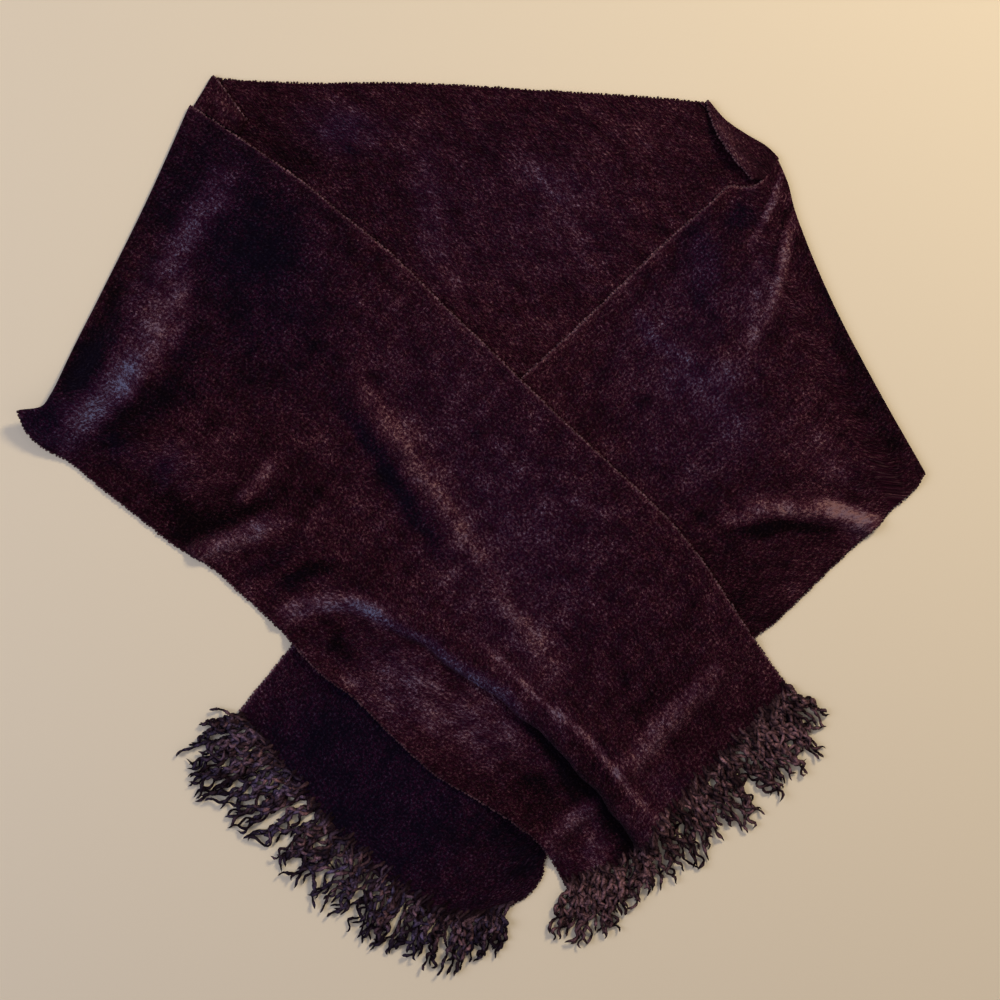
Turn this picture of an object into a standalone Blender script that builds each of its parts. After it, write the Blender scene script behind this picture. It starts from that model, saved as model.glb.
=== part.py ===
"""A chenille scarf laid flat on a surface, folded once near each end.

The scarf is one woven strip with a fringe on both ends. Its middle, the back stretch, lies on the
surface. At each end of the back the strip folds over on a slanting line and comes forward as an arm:
the right arm lies under, the left arm crosses over it. A small tuck sits in the selvage at the top of
each fold. Every stretch is its own solid, and so is each fringe with its narrow hem strip.

A stretch is a sheet of cloth worked out on a grid: s runs along the strip and v across it, from the
inner selvage (0) to the outer one (1). Plan points are in millimetres from the middle of the scarf's
footprint, +Y towards the back stretch, and the solids are in metres.
"""

import math
from collections import namedtuple

import bpy
import numpy as np

MM = 0.001

# Cloth, in millimetres
CLOTH = 2.2  # thickness, pile to pile
LAYER_GAP = 0.6  # air between two layers that lie on each other
SEAM = 0.5  # parting between two stretches, and between cloth and hem strip
BEND = (CLOTH + LAYER_GAP) / 2  # radius of the fold, at mid thickness
STEP = CLOTH + LAYER_GAP  # height that one layer below adds
STEP_FLAT = 10.0  # how far a layer stays up past the edge below it
STEP_RAMP = 36.0  # length over which it then comes down
BEND_ROWS = 5  # rows of the grid round a fold
BACK_GRID = (16, 9)  # rows along and columns across
UNDER_GRID = (36, 18)
OVER_GRID = (44, 25)
LEFT_TUCK_GRID = (6, 5)
RIGHT_TUCK_GRID = (8, 8)
FOLD_CALM = 16.0  # distance from a fold over which the creases grow
NUDGE = 1e-3  # step in s or v that a direction is measured over
LONG_FADE = 6  # power with which the curve of a fold or hem fades into a long stretch
TUCK_FADE = 1  # the same for a short tuck

# Fringe, in millimetres
HEM_STRIP = 4.5  # width of the strip that the strands grow from
STRANDS = 72  # on each end of the scarf
STRAND_FILL = 0.56  # share of the pitch that a strand takes at its root
STRAND_TIP = 1.0  # width of a strand at its tip
STRAND_THICK = 1.3  # height of a strand past its root
STRAND_LEVELS = 3  # neighbouring strands lie at different heights
STRAND_LIFT = 0.3  # lowest strand above the surface
STRAND_STEPS = 4
STRAND_SWAY = 2.6  # sideways swing that neighbouring strands share
STRAND_STRAY = 2.4  # sideways swing of one strand by itself
SWAY_WAVES = 3.0  # waves of the shared swing across the hem
SWAY_TURN = 0.5  # waves of it along a strand
SWAY_GROWTH = 1.4  # power with which a swing grows from the root
STRAY_WANDER = 0.45  # how fast a strand's own swing changes, step by step
STRAND_SHORT = 0.22  # share of its length that a strand may lack
STRAND_DROP = 0.55  # share of its length over which a strand comes down from the hem
LEVEL_PITCH = 1.7  # height between two levels
UNDER_SEED = 3
OVER_SEED = 8

Section = namedtuple("Section", "inner_x inner_y outer_x outer_y")
Crease = namedtuple("Crease", "start middle end heights left right")
Lift = namedtuple("Lift", "x y reach height")

# The back stretch, from its left seam to its right seam
BACK_SECTIONS = [
    Section(-203, 359, -336, 77),
    Section(-149, 356, -262, 73),
    Section(-60, 356, -141, 68),
    Section(70, 349, 40, 60),
    Section(134, 345, 170, 51),
    Section(181, 341, 353, 37),
]
LEFT_SEAM = [(-203, 359), (-336, 77)]
RIGHT_SEAM = [(181, 341), (235, 290), (353, 37)]
LEFT_SEAM_SPLIT = (0.087, 0.10)  # where the tuck's seam ends and the arm's begins

# The over arm, from the left fold to its hem
OVER_SECTIONS = [
    Section(-230, 338, -365, 91),
    Section(-213, 326, -352, 66),
    Section(-141, 277, -303, 32),
    Section(-104, 247, -262, 1),
    Section(-60, 211, -214, -32),
    Section(-28, 179, -190, -54),
    Section(38, 115, -129, -117),
    Section(86, 69, -96, -141),
    Section(134, 25, -60, -177),
    Section(160, -1, -28, -205),
    Section(183, -30, 5, -224),
    Section(225, -90, 54, -259),
    Section(256, -135, 76, -295),
]
LEFT_FOLD = [(-230, 338), (-262, 266), (-304, 180), (-336, 120), (-347, 103), (-365, 91)]
OVER_HEM = [(256, -135), (215, -177), (183, -212), (155, -240), (134, -269), (106, -281), (76, -295)]
OVER_TIPS = [(272, -168), (256, -200), (234, -228), (203, -250), (172, -285), (140, -303), (66, -335)]

# The under arm, from the right fold to its hem
UNDER_SECTIONS = [
    Section(246, 295, 365, 41),
    Section(237, 279, 357, 32),
    Section(211, 273, 343, 17),
    Section(194, 261, 329, 3),
    Section(151, 223, 299, -25),
    Section(110, 183, 264, -60),
    Section(38, 116, 225, -90),
    Section(-28, 43, 183, -133),
    Section(-92, -34, 134, -183),
    Section(-146, -98, 94, -224),
    Section(-165, -120, 66, -252),
    Section(-180, -141, 57, -272),
    Section(-190, -153, 23, -312),
]
RIGHT_FOLD = [(246, 295), (258, 256), (282, 207), (329, 112), (365, 41)]
UNDER_HEM = [(-190, -153), (-149, -204), (-100, -264), (-72, -287), (-44, -307), (-15, -320), (23, -312)]
UNDER_TIPS = [(-224, -175), (-222, -214), (-185, -238), (-161, -275), (-117, -312), (-26, -360), (15, -345)]

# The tucks, from their fold to the point where the selvage turns back under
LEFT_TUCK_SECTIONS = [
    Section(-212, 362, -224, 339),
    Section(-202, 350, -211, 334.5),
    Section(-191, 335, -196, 329.5),
    Section(-184, 327, -186, 325.5),
]
LEFT_TUCK_FOLD = [(-212, 362), (-218, 351), (-224, 339)]
RIGHT_TUCK_SECTIONS = [
    Section(188, 341, 244, 297),
    Section(193, 323, 239, 290),
    Section(203, 303, 232, 284),
    Section(219, 284, 223, 281.5),
]
RIGHT_TUCK_FOLD = [(188, 341), (201, 326), (215, 315), (233, 306), (244, 297)]

# Ridges that stand off the surface: three points, the height at each, and the half width of the
# side on the left and on the right of someone who walks from start to end
OVER_CREASES = [
    Crease((-210, 274), (-262, 180), (-335, 82), (1.0, 3.0, 3.5), 20, 20),
    Crease((-190, 19), (-168, 40), (-149, 68), (4.0, 3.0, 0.5), 16, 16),
    Crease((-218, -28), (-185, -14), (-149, 7), (7.0, 5.0, 0.5), 16, 18),
    Crease((-169, -72), (0, -96), (150, -244), (5.0, 9.0, 13.0), 42, 22),
    Crease((-104, 116), (-40, 35), (53, -86), (1.0, 4.0, 1.0), 26, 16),
    Crease((118, -200), (155, -158), (191, -115), (1.0, 2.5, 1.0), 18, 18),
    Crease((60, -256), (80, -238), (102, -217), (3.0, 2.5, 1.0), 14, 14),
]
UNDER_CREASES = [
    Crease((250, 282), (238, 242), (224, 217), (1.0, 3.0, 0.5), 11, 11),
    Crease((262, 252), (249, 200), (228, 145), (1.0, 3.5, 0.5), 14, 14),
    Crease((211, 21), (275, 17), (333, -3), (1.0, 5.0, 6.0), 18, 16),
]
RIGHT_TUCK_CREASES = [Crease((190, 330), (198, 306), (215, 287), (2.0, 6.0, 1.0), 16, 16)]
CORNER_LIFTS = [Lift(-365, 91, 60, 12.0)]

# Colours, as linear values
CLOTH_COLOUR = (0.0155, 0.0048, 0.0098)
FRINGE_COLOUR = (0.0190, 0.0085, 0.0130)


def smooth_rows(rows, at):
    """Rows of a table read at 0 to 1 along it, on a smooth cubic through every row.

    The rows' own distances space them, and the slope at a row is that of its neighbours.
    """
    rows = np.asarray(rows, float)
    steps = np.linalg.norm(np.diff(rows, axis=0), axis=1)
    knots = np.concatenate(([0.0], np.cumsum(steps))) / steps.sum()
    slopes = np.gradient(rows, knots, axis=0)
    at = np.clip(at, 0.0, 1.0)
    index = np.clip(np.searchsorted(knots, at, side="right") - 1, 0, len(knots) - 2)
    span = (knots[index + 1] - knots[index])[..., None]
    part = (at - knots[index])[..., None] / span
    rise = part * part * (3.0 - 2.0 * part)
    leave = part * (1.0 - part) ** 2
    arrive = part * part * (part - 1.0)
    ends = rows[index] * (1.0 - rise) + rows[index + 1] * rise
    return ends + span * (slopes[index] * leave + slopes[index + 1] * arrive)


def straight_rows(rows, at):
    """Rows read at 0 to 1 along the straight lines between them."""
    rows = np.asarray(rows, float)
    steps = np.linalg.norm(np.diff(rows, axis=0), axis=1)
    knots = np.concatenate(([0.0], np.cumsum(steps))) / steps.sum()
    return np.stack([np.interp(at, knots, column) for column in rows.T], axis=-1)


def smoothstep(value):
    value = np.clip(value, 0.0, 1.0)
    return value * value * (3.0 - 2.0 * value)


def nearest_on_line(points, line):
    """Distance from each point to a line of points, the side it lies on, and how far along it."""
    starts = line[:-1]
    runs = np.diff(line, axis=0)
    offsets = points[..., None, :] - starts
    along = np.clip((offsets * runs).sum(-1) / (runs * runs).sum(-1), 0.0, 1.0)
    gaps = offsets - along[..., None] * runs
    distances = np.linalg.norm(gaps, axis=-1)
    nearest = distances.argmin(axis=-1)[..., None]
    cross = runs[:, 0] * offsets[..., 1] - runs[:, 1] * offsets[..., 0]
    distance = np.take_along_axis(distances, nearest, -1)[..., 0]
    side = np.sign(np.take_along_axis(cross, nearest, -1)[..., 0])
    position = (nearest[..., 0] + np.take_along_axis(along, nearest, -1)[..., 0]) / len(runs)
    return distance, side, position


def distance_inside(points, outline):
    """Distance from each point to a closed outline, negative outside it."""
    ring = np.vstack((outline, outline[:1]))
    distance, _, _ = nearest_on_line(points, ring)
    x, y = points[..., 0, None], points[..., 1, None]
    x0, y0 = ring[:-1].T
    x1, y1 = ring[1:].T
    spans = (y0 > y) != (y1 > y)
    rise = np.where(y1 == y0, 1.0, y1 - y0)
    crossings = spans & (x < x0 + (y - y0) * (x1 - x0) / rise)
    inside = crossings.sum(axis=-1) % 2 == 1
    return np.where(inside, distance, -distance)


def layers_below(points, outlines):
    """Height that the layers below add: one step over each outline, with a ramp past its edge."""
    height = np.zeros(points.shape[:-1])
    for outline in outlines:
        outside = -distance_inside(points, outline) - STEP_FLAT
        height += STEP * (1.0 - smoothstep(outside / STEP_RAMP))
    return height


def crease_height(points, creases):
    """Height of the ridges: each is a cosine hump across a curve through its three points."""
    height = np.zeros(points.shape[:-1])
    places = np.linspace(0.0, 1.0, 25)
    for crease in creases:
        line = smooth_rows([crease.start, crease.middle, crease.end], places)
        distance, side, position = nearest_on_line(points, line)
        width = np.where(side > 0, crease.left, crease.right)
        across = np.clip(distance / width, 0.0, 1.0)
        crest = np.interp(position, (0.0, 0.5, 1.0), crease.heights)
        height += crest * 0.5 * (1.0 + np.cos(math.pi * across))
    return height


def lift_height(points, lifts):
    """Height of corners that curl up off the surface."""
    height = np.zeros(points.shape[:-1])
    for lift in lifts:
        distance = np.hypot(points[..., 0] - lift.x, points[..., 1] - lift.y)
        height += lift.height * smoothstep(1.0 - distance / lift.reach)
    return height


class Stretch:
    """A sheet between two selvages: s from 0 to 1 along it, v from 0 to 1 across it.

    Where it has a fold, s from -1 to 0 runs round the bend and s from -2 to -1 along the part
    that lies under it, out from the seam.
    """

    def __init__(self, sections, start, end, seam=None, below=(), creases=(), lifts=(), fade=LONG_FADE):
        self.sections = sections
        self.start = start
        self.end = end
        self.seam = seam
        self.below = below
        self.creases = creases
        self.lifts = lifts
        self.fade = fade
        first, last = np.asarray(sections[0], float), np.asarray(sections[-1], float)
        across = first[2:] - first[:2]
        along = last[:2] - first[:2]
        self.hand = math.copysign(1.0, across[0] * along[1] - across[1] * along[0])

    def length(self):
        edges = smooth_rows(self.sections, np.linspace(0.0, 1.0, 100))
        middle = (edges[:, :2] + edges[:, 2:]) / 2
        return np.linalg.norm(np.diff(middle, axis=0), axis=1).sum()

    def bend_line(self, v):
        """Middle of the fold's bend across the strip, and the direction out of the fold there."""
        if self.seam is None:
            border = straight_rows(self.start, v)
            return border, np.zeros_like(border)
        fold = smooth_rows(self.start, v)
        place = np.clip(v, NUDGE, 1.0 - NUDGE)
        run = smooth_rows(self.start, place + NUDGE) - smooth_rows(self.start, place - NUDGE)
        run /= np.linalg.norm(run, axis=-1, keepdims=True)
        out = np.stack((-run[..., 1], run[..., 0]), axis=-1)
        away = ((fold - straight_rows(self.seam, v)) * out).sum(axis=-1, keepdims=True)
        out *= np.sign(away)
        return fold - out * (BEND + CLOTH / 2), out

    def plan(self, s, v):
        """Plan point: a straight ruling between the selvages, moved to meet the fold and the hem."""
        u = np.clip(s, 0.0, 1.0)
        edges = smooth_rows(self.sections, u)
        first = np.asarray(self.sections[0], float)
        last = np.asarray(self.sections[-1], float)
        across = v[..., None]
        ruled = edges[..., :2] * (1.0 - across) + edges[..., 2:] * across
        at_start = first[:2] * (1.0 - across) + first[2:] * across
        at_end = last[:2] * (1.0 - across) + last[2:] * across
        bend, _ = self.bend_line(v)
        hem = straight_rows(self.end, v) if self.seam is None else smooth_rows(self.end, v)
        near_start = ((1.0 - u) ** self.fade)[..., None]
        near_end = (u**self.fade)[..., None]
        return ruled + (bend - at_start) * near_start + (hem - at_end) * near_end

    def middle(self, s, v):
        """Point at mid thickness, in millimetres."""
        arm = self.plan(s, v)
        height = layers_below(arm, self.below)
        if self.seam is not None:
            bend, out = self.bend_line(v)
            seam = straight_rows(self.seam, v)
            reach = np.clip(s + 2.0, 0.0, 1.0)[..., None]
            turn = math.pi * (np.clip(s + 1.0, 0.0, 1.0) - 0.5)
            folded = seam + (bend - seam) * reach + out * (BEND * np.cos(turn))[..., None]
            arm = np.where(s[..., None] < 0, folded, arm)
            height = np.where(s < 0, BEND * (1.0 + np.sin(turn)), height)
        from_fold = np.clip(s, 0.0, 1.0) * self.length() if self.seam is not None else FOLD_CALM
        relief = crease_height(arm, self.creases) * smoothstep(from_fold / FOLD_CALM)
        relief = relief + lift_height(arm, self.lifts)
        return np.concatenate((arm, (height + relief + CLOTH / 2)[..., None]), axis=-1)

    def normal(self, s, v):
        """Direction square to the sheet, from points just beside it: up on the part that lies on top."""
        along = self.middle(s + NUDGE, v) - self.middle(s - NUDGE, v)
        across = self.middle(s, v + NUDGE) - self.middle(s, v - NUDGE)
        square = np.cross(across, along) * self.hand
        return square / np.linalg.norm(square, axis=-1, keepdims=True)

    def faces_at(self, s, v):
        """The sheet's two faces at a grid of places, top face first."""
        middle = self.middle(s, v)
        half = self.normal(s, v) * CLOTH / 2
        return middle + half, middle - half


def outward(points, faces):
    """The faces turned so that the solid's volume is positive."""
    triangles = np.concatenate((faces[:, :3], faces[:, [0, 2, 3]]))
    a, b, c = points[triangles].swapaxes(0, 1)
    volume = (a * np.cross(b, c)).sum()
    return faces if volume > 0 else faces[:, ::-1]


def shell_faces(rows, columns):
    """Quads of a closed sheet: grid vertices of one face, then those of the other face."""
    index = np.arange(rows * columns).reshape(rows, columns)
    other = index + rows * columns
    top = np.stack((index[:-1, :-1], index[1:, :-1], index[1:, 1:], index[:-1, 1:]), -1)
    low = np.stack((other[:-1, :-1], other[:-1, 1:], other[1:, 1:], other[1:, :-1]), -1)
    ring = np.concatenate((index[0, :-1], index[:-1, -1], index[-1, :0:-1], index[:0:-1, 0]))
    following = np.roll(ring, -1)
    wall = np.stack((ring, following, following + rows * columns, ring + rows * columns), -1)
    return np.concatenate((top.reshape(-1, 4), low.reshape(-1, 4), wall))


def cloth_solid(stretch, places, columns):
    """A stretch's solid: its top and bottom faces, closed round the edge."""
    s, v = np.meshgrid(places, np.linspace(0.0, 1.0, columns), indexing="ij")
    top, low = stretch.faces_at(s, v)
    points = np.concatenate((top.reshape(-1, 3), low.reshape(-1, 3)))
    return points, shell_faces(*s.shape)


def folded_solid(stretch, grid, end):
    """A folded stretch's solid: seam, bend, then the part on top up to its end."""
    rows, columns = grid
    bend = np.linspace(-1.0, 0.0, BEND_ROWS + 1)[:-1]
    places = np.concatenate(([-2.0], bend, np.linspace(0.0, end, rows)))
    return cloth_solid(stretch, places, columns)


def strand_paths(stretch, tips, seed):
    """Middle line of each strand, from the hem strip's edge to its tip, and the strip's columns."""
    random = np.random.default_rng(seed)
    pitch = 1.0 / (STRANDS - 1 + STRAND_FILL)
    left = np.arange(STRANDS) * pitch
    columns = np.sort(np.concatenate((left, left + STRAND_FILL * pitch)))
    middle = left + STRAND_FILL * pitch / 2
    root = stretch.middle(np.ones(STRANDS), middle)
    tip = smooth_rows(tips, middle)
    reach = tip - root[:, :2]
    reach *= (1.0 - STRAND_SHORT * random.random(STRANDS))[:, None]
    steps = np.linspace(0.0, 1.0, STRAND_STEPS + 1)[1:]
    square = np.stack((-reach[:, 1], reach[:, 0]), -1) / np.linalg.norm(reach, axis=1)[:, None]
    shared = np.sin(2 * math.pi * (middle[:, None] * SWAY_WAVES + steps * SWAY_TURN))
    single = np.cumsum(random.normal(0.0, STRAY_WANDER, (STRANDS, STRAND_STEPS)), axis=1)
    single = np.clip(single, -1.0, 1.0)
    sway = steps**SWAY_GROWTH * (STRAND_SWAY * shared + STRAND_STRAY * single)
    plan = root[:, None, :2] + reach[:, None] * steps[:, None] + square[:, None] * sway[..., None]
    level = np.arange(STRANDS) % STRAND_LEVELS
    rest = STRAND_LIFT + STRAND_THICK / 2 + level * LEVEL_PITCH
    drop = smoothstep(steps / STRAND_DROP)
    height = root[:, None, 2] * (1.0 - drop) + rest[:, None] * drop
    return columns, np.concatenate((plan, height[..., None]), axis=-1)


def fringe_solid(stretch, tips, strip_start, seed):
    """A hem strip with its strands: each is a four-sided tube grown from a quad of the strip's edge."""
    columns, paths = strand_paths(stretch, tips, seed)
    places = np.array([strip_start, 1.0])
    s, v = np.meshgrid(places, columns, indexing="ij")
    top, low = stretch.faces_at(s, v)
    points = [np.concatenate((top.reshape(-1, 3), low.reshape(-1, 3)))]
    count = len(columns)
    strip = shell_faces(*s.shape)
    roots = np.stack((top[1, 0::2], top[1, 1::2], low[1, 1::2], low[1, 0::2]), axis=1)
    first = count + 2 * np.arange(STRANDS)
    below = first + 2 * count
    ring = np.stack((first + 1, first, below, below + 1), axis=-1)
    root_quads = {tuple(sorted(quad)) for quad in ring.tolist()}
    faces = [[quad for quad in strip.tolist() if tuple(sorted(quad)) not in root_quads]]
    base = 4 * count
    root_width = np.linalg.norm(roots[:, 1] - roots[:, 0], axis=-1)
    ahead = np.diff(np.concatenate((roots.mean(axis=1)[:, None], paths), axis=1), axis=1)
    side = (roots[:, 1] - roots[:, 0]) / root_width[:, None]
    for step in range(STRAND_STEPS):
        share = (step + 1) / STRAND_STEPS
        width = root_width * (1.0 - share) + STRAND_TIP * share
        forward = ahead[:, step, :2] / np.linalg.norm(ahead[:, step, :2], axis=-1, keepdims=True)
        flat = np.stack((-forward[:, 1], forward[:, 0], np.zeros(STRANDS)), -1)
        flat *= np.sign((flat * side).sum(-1))[:, None]
        across = flat * width[:, None] / 2
        up = np.array([0.0, 0.0, STRAND_THICK / 2])
        centre = paths[:, step]
        corners = np.stack(
            (centre + across + up, centre - across + up, centre - across - up, centre + across - up), 1
        )
        new_ring = base + np.arange(4 * STRANDS).reshape(STRANDS, 4)
        for corner in range(4):
            following = (corner + 1) % 4
            side_quads = (ring[:, corner], ring[:, following], new_ring[:, following], new_ring[:, corner])
            faces.append(np.stack(side_quads, -1).tolist())
        points.append(corners.reshape(-1, 3))
        ring = new_ring
        base += 4 * STRANDS
    faces.append(ring.tolist())
    return np.concatenate(points), np.array([quad for group in faces for quad in group])


def cloth_material(name, colour, roughness):
    """A matt pile fabric."""
    material = bpy.data.materials.new(name)
    material.use_nodes = True
    shader = material.node_tree.nodes["Principled BSDF"]
    shader.inputs["Base Color"].default_value = (*colour, 1.0)
    shader.inputs["Roughness"].default_value = roughness
    shader.inputs["Metallic"].default_value = 0.0
    shader.inputs["Sheen Weight"].default_value = 0.6
    material.diffuse_color = (*colour, 1.0)
    return material


def add_object(name, solid, middle, material):
    """An object in metres, with the footprint's middle at the origin."""
    points, faces = solid
    faces = outward(points, faces)
    mesh = bpy.data.meshes.new(name)
    mesh.from_pydata(((points - middle) * MM).tolist(), [], faces.tolist())
    mesh.materials.append(material)
    mesh.shade_smooth()
    mesh.set_sharp_from_angle(angle=math.radians(50))
    item = bpy.data.objects.new(name, mesh)
    bpy.context.scene.collection.objects.link(item)


def split_line(line, start, end):
    """The part of a straight line between two shares of its length."""
    first, last = np.asarray(line[0], float), np.asarray(line[1], float)
    return [first + (last - first) * start, first + (last - first) * end]


def bottom_outline():
    """Outline of the layer that lies on the surface, the folds' bends with it."""
    top = [section[:2] for section in BACK_SECTIONS]
    low = [section[2:] for section in BACK_SECTIONS]
    right = RIGHT_TUCK_FOLD + RIGHT_FOLD
    left = LEFT_TUCK_FOLD[::-1]
    return np.array(top + right + low[::-1] + LEFT_FOLD[::-1] + left, float)


def sheet_outline(stretch):
    """Outline of a stretch from its fold to its hem."""
    run = np.linspace(0.0, 1.0, 40)
    zero = np.zeros_like(run)
    one = np.ones_like(run)
    sides = (
        stretch.plan(run, zero),
        stretch.plan(one, run)[1:],
        stretch.plan(run[::-1], one)[1:],
        stretch.plan(zero, run[::-1])[1:-1],
    )
    return np.concatenate(sides)


def all_stretches():
    """The five stretches of cloth, each with the layers that lie below it."""
    bottom = bottom_outline()
    shift = np.array([SEAM, 0.0])
    back = Stretch(BACK_SECTIONS, np.array(LEFT_SEAM) + shift, np.array(RIGHT_SEAM) - shift)
    under = Stretch(
        UNDER_SECTIONS,
        RIGHT_FOLD,
        UNDER_HEM,
        seam=split_line(RIGHT_SEAM[1:], 0.008, 1.0),
        below=(bottom,),
        creases=UNDER_CREASES,
    )
    over = Stretch(
        OVER_SECTIONS,
        LEFT_FOLD,
        OVER_HEM,
        seam=split_line(LEFT_SEAM, LEFT_SEAM_SPLIT[1], 1.0),
        below=(bottom, sheet_outline(under)),
        creases=OVER_CREASES,
        lifts=CORNER_LIFTS,
    )
    left_tuck = Stretch(
        LEFT_TUCK_SECTIONS,
        LEFT_TUCK_FOLD,
        [LEFT_TUCK_SECTIONS[-1][:2], LEFT_TUCK_SECTIONS[-1][2:]],
        seam=split_line(LEFT_SEAM, 0.0, LEFT_SEAM_SPLIT[0]),
        below=(bottom,),
        fade=TUCK_FADE,
    )
    right_tuck = Stretch(
        RIGHT_TUCK_SECTIONS,
        RIGHT_TUCK_FOLD,
        [RIGHT_TUCK_SECTIONS[-1][:2], RIGHT_TUCK_SECTIONS[-1][2:]],
        seam=split_line(RIGHT_SEAM, 0.0, 0.985),
        below=(bottom,),
        creases=RIGHT_TUCK_CREASES,
        fade=TUCK_FADE,
    )
    return back, under, over, left_tuck, right_tuck


def main():
    for item in list(bpy.data.objects):
        bpy.data.objects.remove(item)
    back, under, over, left_tuck, right_tuck = all_stretches()
    under_strip = 1.0 - HEM_STRIP / under.length()
    over_strip = 1.0 - HEM_STRIP / over.length()
    under_end = under_strip - SEAM / under.length()
    over_end = over_strip - SEAM / over.length()
    solids = {
        "back_stretch": cloth_solid(back, np.linspace(0.0, 1.0, BACK_GRID[0]), BACK_GRID[1]),
        "under_arm": folded_solid(under, UNDER_GRID, under_end),
        "over_arm": folded_solid(over, OVER_GRID, over_end),
        "left_tuck": folded_solid(left_tuck, LEFT_TUCK_GRID, 1.0),
        "right_tuck": folded_solid(right_tuck, RIGHT_TUCK_GRID, 1.0),
        "under_fringe": fringe_solid(under, UNDER_TIPS, under_strip, UNDER_SEED),
        "over_fringe": fringe_solid(over, OVER_TIPS, over_strip, OVER_SEED),
    }
    points = np.concatenate([solid[0] for solid in solids.values()])
    middle = (points.min(axis=0) + points.max(axis=0)) / 2
    middle[2] = 0.0
    print("footprint middle in mm", np.round(middle, 3), "size", np.round(np.ptp(points, axis=0), 2))
    for name, solid in solids.items():
        fringe = name.endswith("fringe")
        colour = FRINGE_COLOUR if fringe else CLOTH_COLOUR
        add_object(name, solid, middle, cloth_material(name, colour, 0.9 if fringe else 0.85))


main()
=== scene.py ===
# %% [markdown]
# A chenille scarf laid flat, folded once near each end so that its arms cross
#
# Chenille is woven from furry yarn. Its face is a short pile with no gloss of its own, and what we see
# is which way the pile leans: it is nearly black along the lie of the pile and greyish where a fold
# bends it to the light. So this lesson spends its time on the shape of the folds, and on a cloth whose
# highlights and shade are painted fold by fold. The cloth comes from the same few curves as the rigid
# model, on a much finer grid.

# %% Load the rigid model as a frame
import math
from collections import namedtuple
from functools import partial

import bpy
import numpy as np
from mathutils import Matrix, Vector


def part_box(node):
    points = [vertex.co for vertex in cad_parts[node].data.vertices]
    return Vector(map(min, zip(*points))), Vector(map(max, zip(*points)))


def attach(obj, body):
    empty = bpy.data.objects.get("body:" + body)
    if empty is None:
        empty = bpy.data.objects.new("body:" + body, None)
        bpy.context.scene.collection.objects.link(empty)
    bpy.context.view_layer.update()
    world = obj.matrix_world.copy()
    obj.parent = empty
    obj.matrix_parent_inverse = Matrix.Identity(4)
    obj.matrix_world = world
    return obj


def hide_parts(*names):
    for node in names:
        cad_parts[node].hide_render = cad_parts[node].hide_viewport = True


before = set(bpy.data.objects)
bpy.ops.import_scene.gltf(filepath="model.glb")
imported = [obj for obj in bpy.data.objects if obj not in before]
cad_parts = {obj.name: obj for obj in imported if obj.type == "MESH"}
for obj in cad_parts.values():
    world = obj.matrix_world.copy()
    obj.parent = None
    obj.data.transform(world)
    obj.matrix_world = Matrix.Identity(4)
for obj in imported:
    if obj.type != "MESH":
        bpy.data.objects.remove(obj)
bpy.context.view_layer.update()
MM = 0.001

# %% [markdown]
# Where the plan lies
#
# All curves below are plan points in millimetres, taken from the middle of the scarf's outline. The
# rigid model stands with the middle of its box at the origin, so one shift takes plan points there. We
# read the shift from the back stretch, whose left and near corners are known in the plan.

# %% Plan frame
BACK_LEFT_X = -335.5
BACK_NEAR_Y = 37.0
back_low, back_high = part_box("back_stretch")
PLAN_MIDDLE = np.array([BACK_LEFT_X - back_low[0] / MM, BACK_NEAR_Y - back_low[1] / MM])
print("middle of the footprint in the plan, mm:", PLAN_MIDDLE.round(2))


def to_frame(points):
    """Plan points in millimetres, moved to the model's origin and turned to metres."""
    shift = np.array([PLAN_MIDDLE[0], PLAN_MIDDLE[1], 0.0])
    return (np.asarray(points, float) - shift) * MM


# %% [markdown]
# Camera, floor and light
#
# The scarf was seen from straight above, with the back stretch at the top. A camera that looks down
# from 1.3 metres with a narrow view gives that picture with hardly any perspective. The floor is a
# plain pale cream. The key light is warm and comes from the upper right. A wide cool light fills in
# from the left, so that folds turned to the left look bluish, and a faint warm one from the lower right.

# %% Camera
VIEW_WIDTH = 0.810
VIEW_CENTRE = (21.1, 19.0)
CAMERA_HEIGHT = 1.30
SENSOR = 36.0

camera_data = bpy.data.cameras.new("overhead_camera")
camera_data.sensor_width = SENSOR
camera_data.lens = SENSOR * CAMERA_HEIGHT / VIEW_WIDTH
camera = bpy.data.objects.new("overhead_camera", camera_data)
camera.location = (*to_frame((*VIEW_CENTRE, 0.0))[:2], CAMERA_HEIGHT)
bpy.context.scene.collection.objects.link(camera)
bpy.context.scene.camera = camera
bpy.context.scene.view_settings.view_transform = "Standard"
print("camera at", [round(c, 3) for c in camera.location], "lens", round(camera_data.lens, 1), "mm")

# %% Lamps and room light
Lamp = namedtuple("Lamp", "name place size watts colour")
LAMPS = [
    Lamp("key_upper_right", (1.00, 1.20, 1.25), 0.4, 28.2, (1.0, 0.845, 0.56)),
    Lamp("fill_left", (-1.5, 0.15, 1.3), 1.4, 19.0, (0.765, 0.835, 1.03)),
    Lamp("fill_lower_right", (1.3, -0.9, 1.5), 1.4, 2.5, (1.0, 0.74, 0.38)),
]
ROOM_COLOUR = (0.95, 0.92, 1.0, 1.0)
ROOM_STRENGTH = 0.30


def add_lamp(lamp):
    """A square area light that faces the scarf's middle."""
    data = bpy.data.lights.new(lamp.name, "AREA")
    data.size = lamp.size
    data.energy = lamp.watts
    data.color = lamp.colour
    item = bpy.data.objects.new(lamp.name, data)
    item.location = lamp.place
    towards = -np.array(lamp.place)
    item.rotation_euler = (
        math.atan2(math.hypot(towards[0], towards[1]), -towards[2]),
        0.0,
        math.atan2(towards[1], towards[0]) - math.pi / 2,
    )
    bpy.context.scene.collection.objects.link(item)


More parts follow.
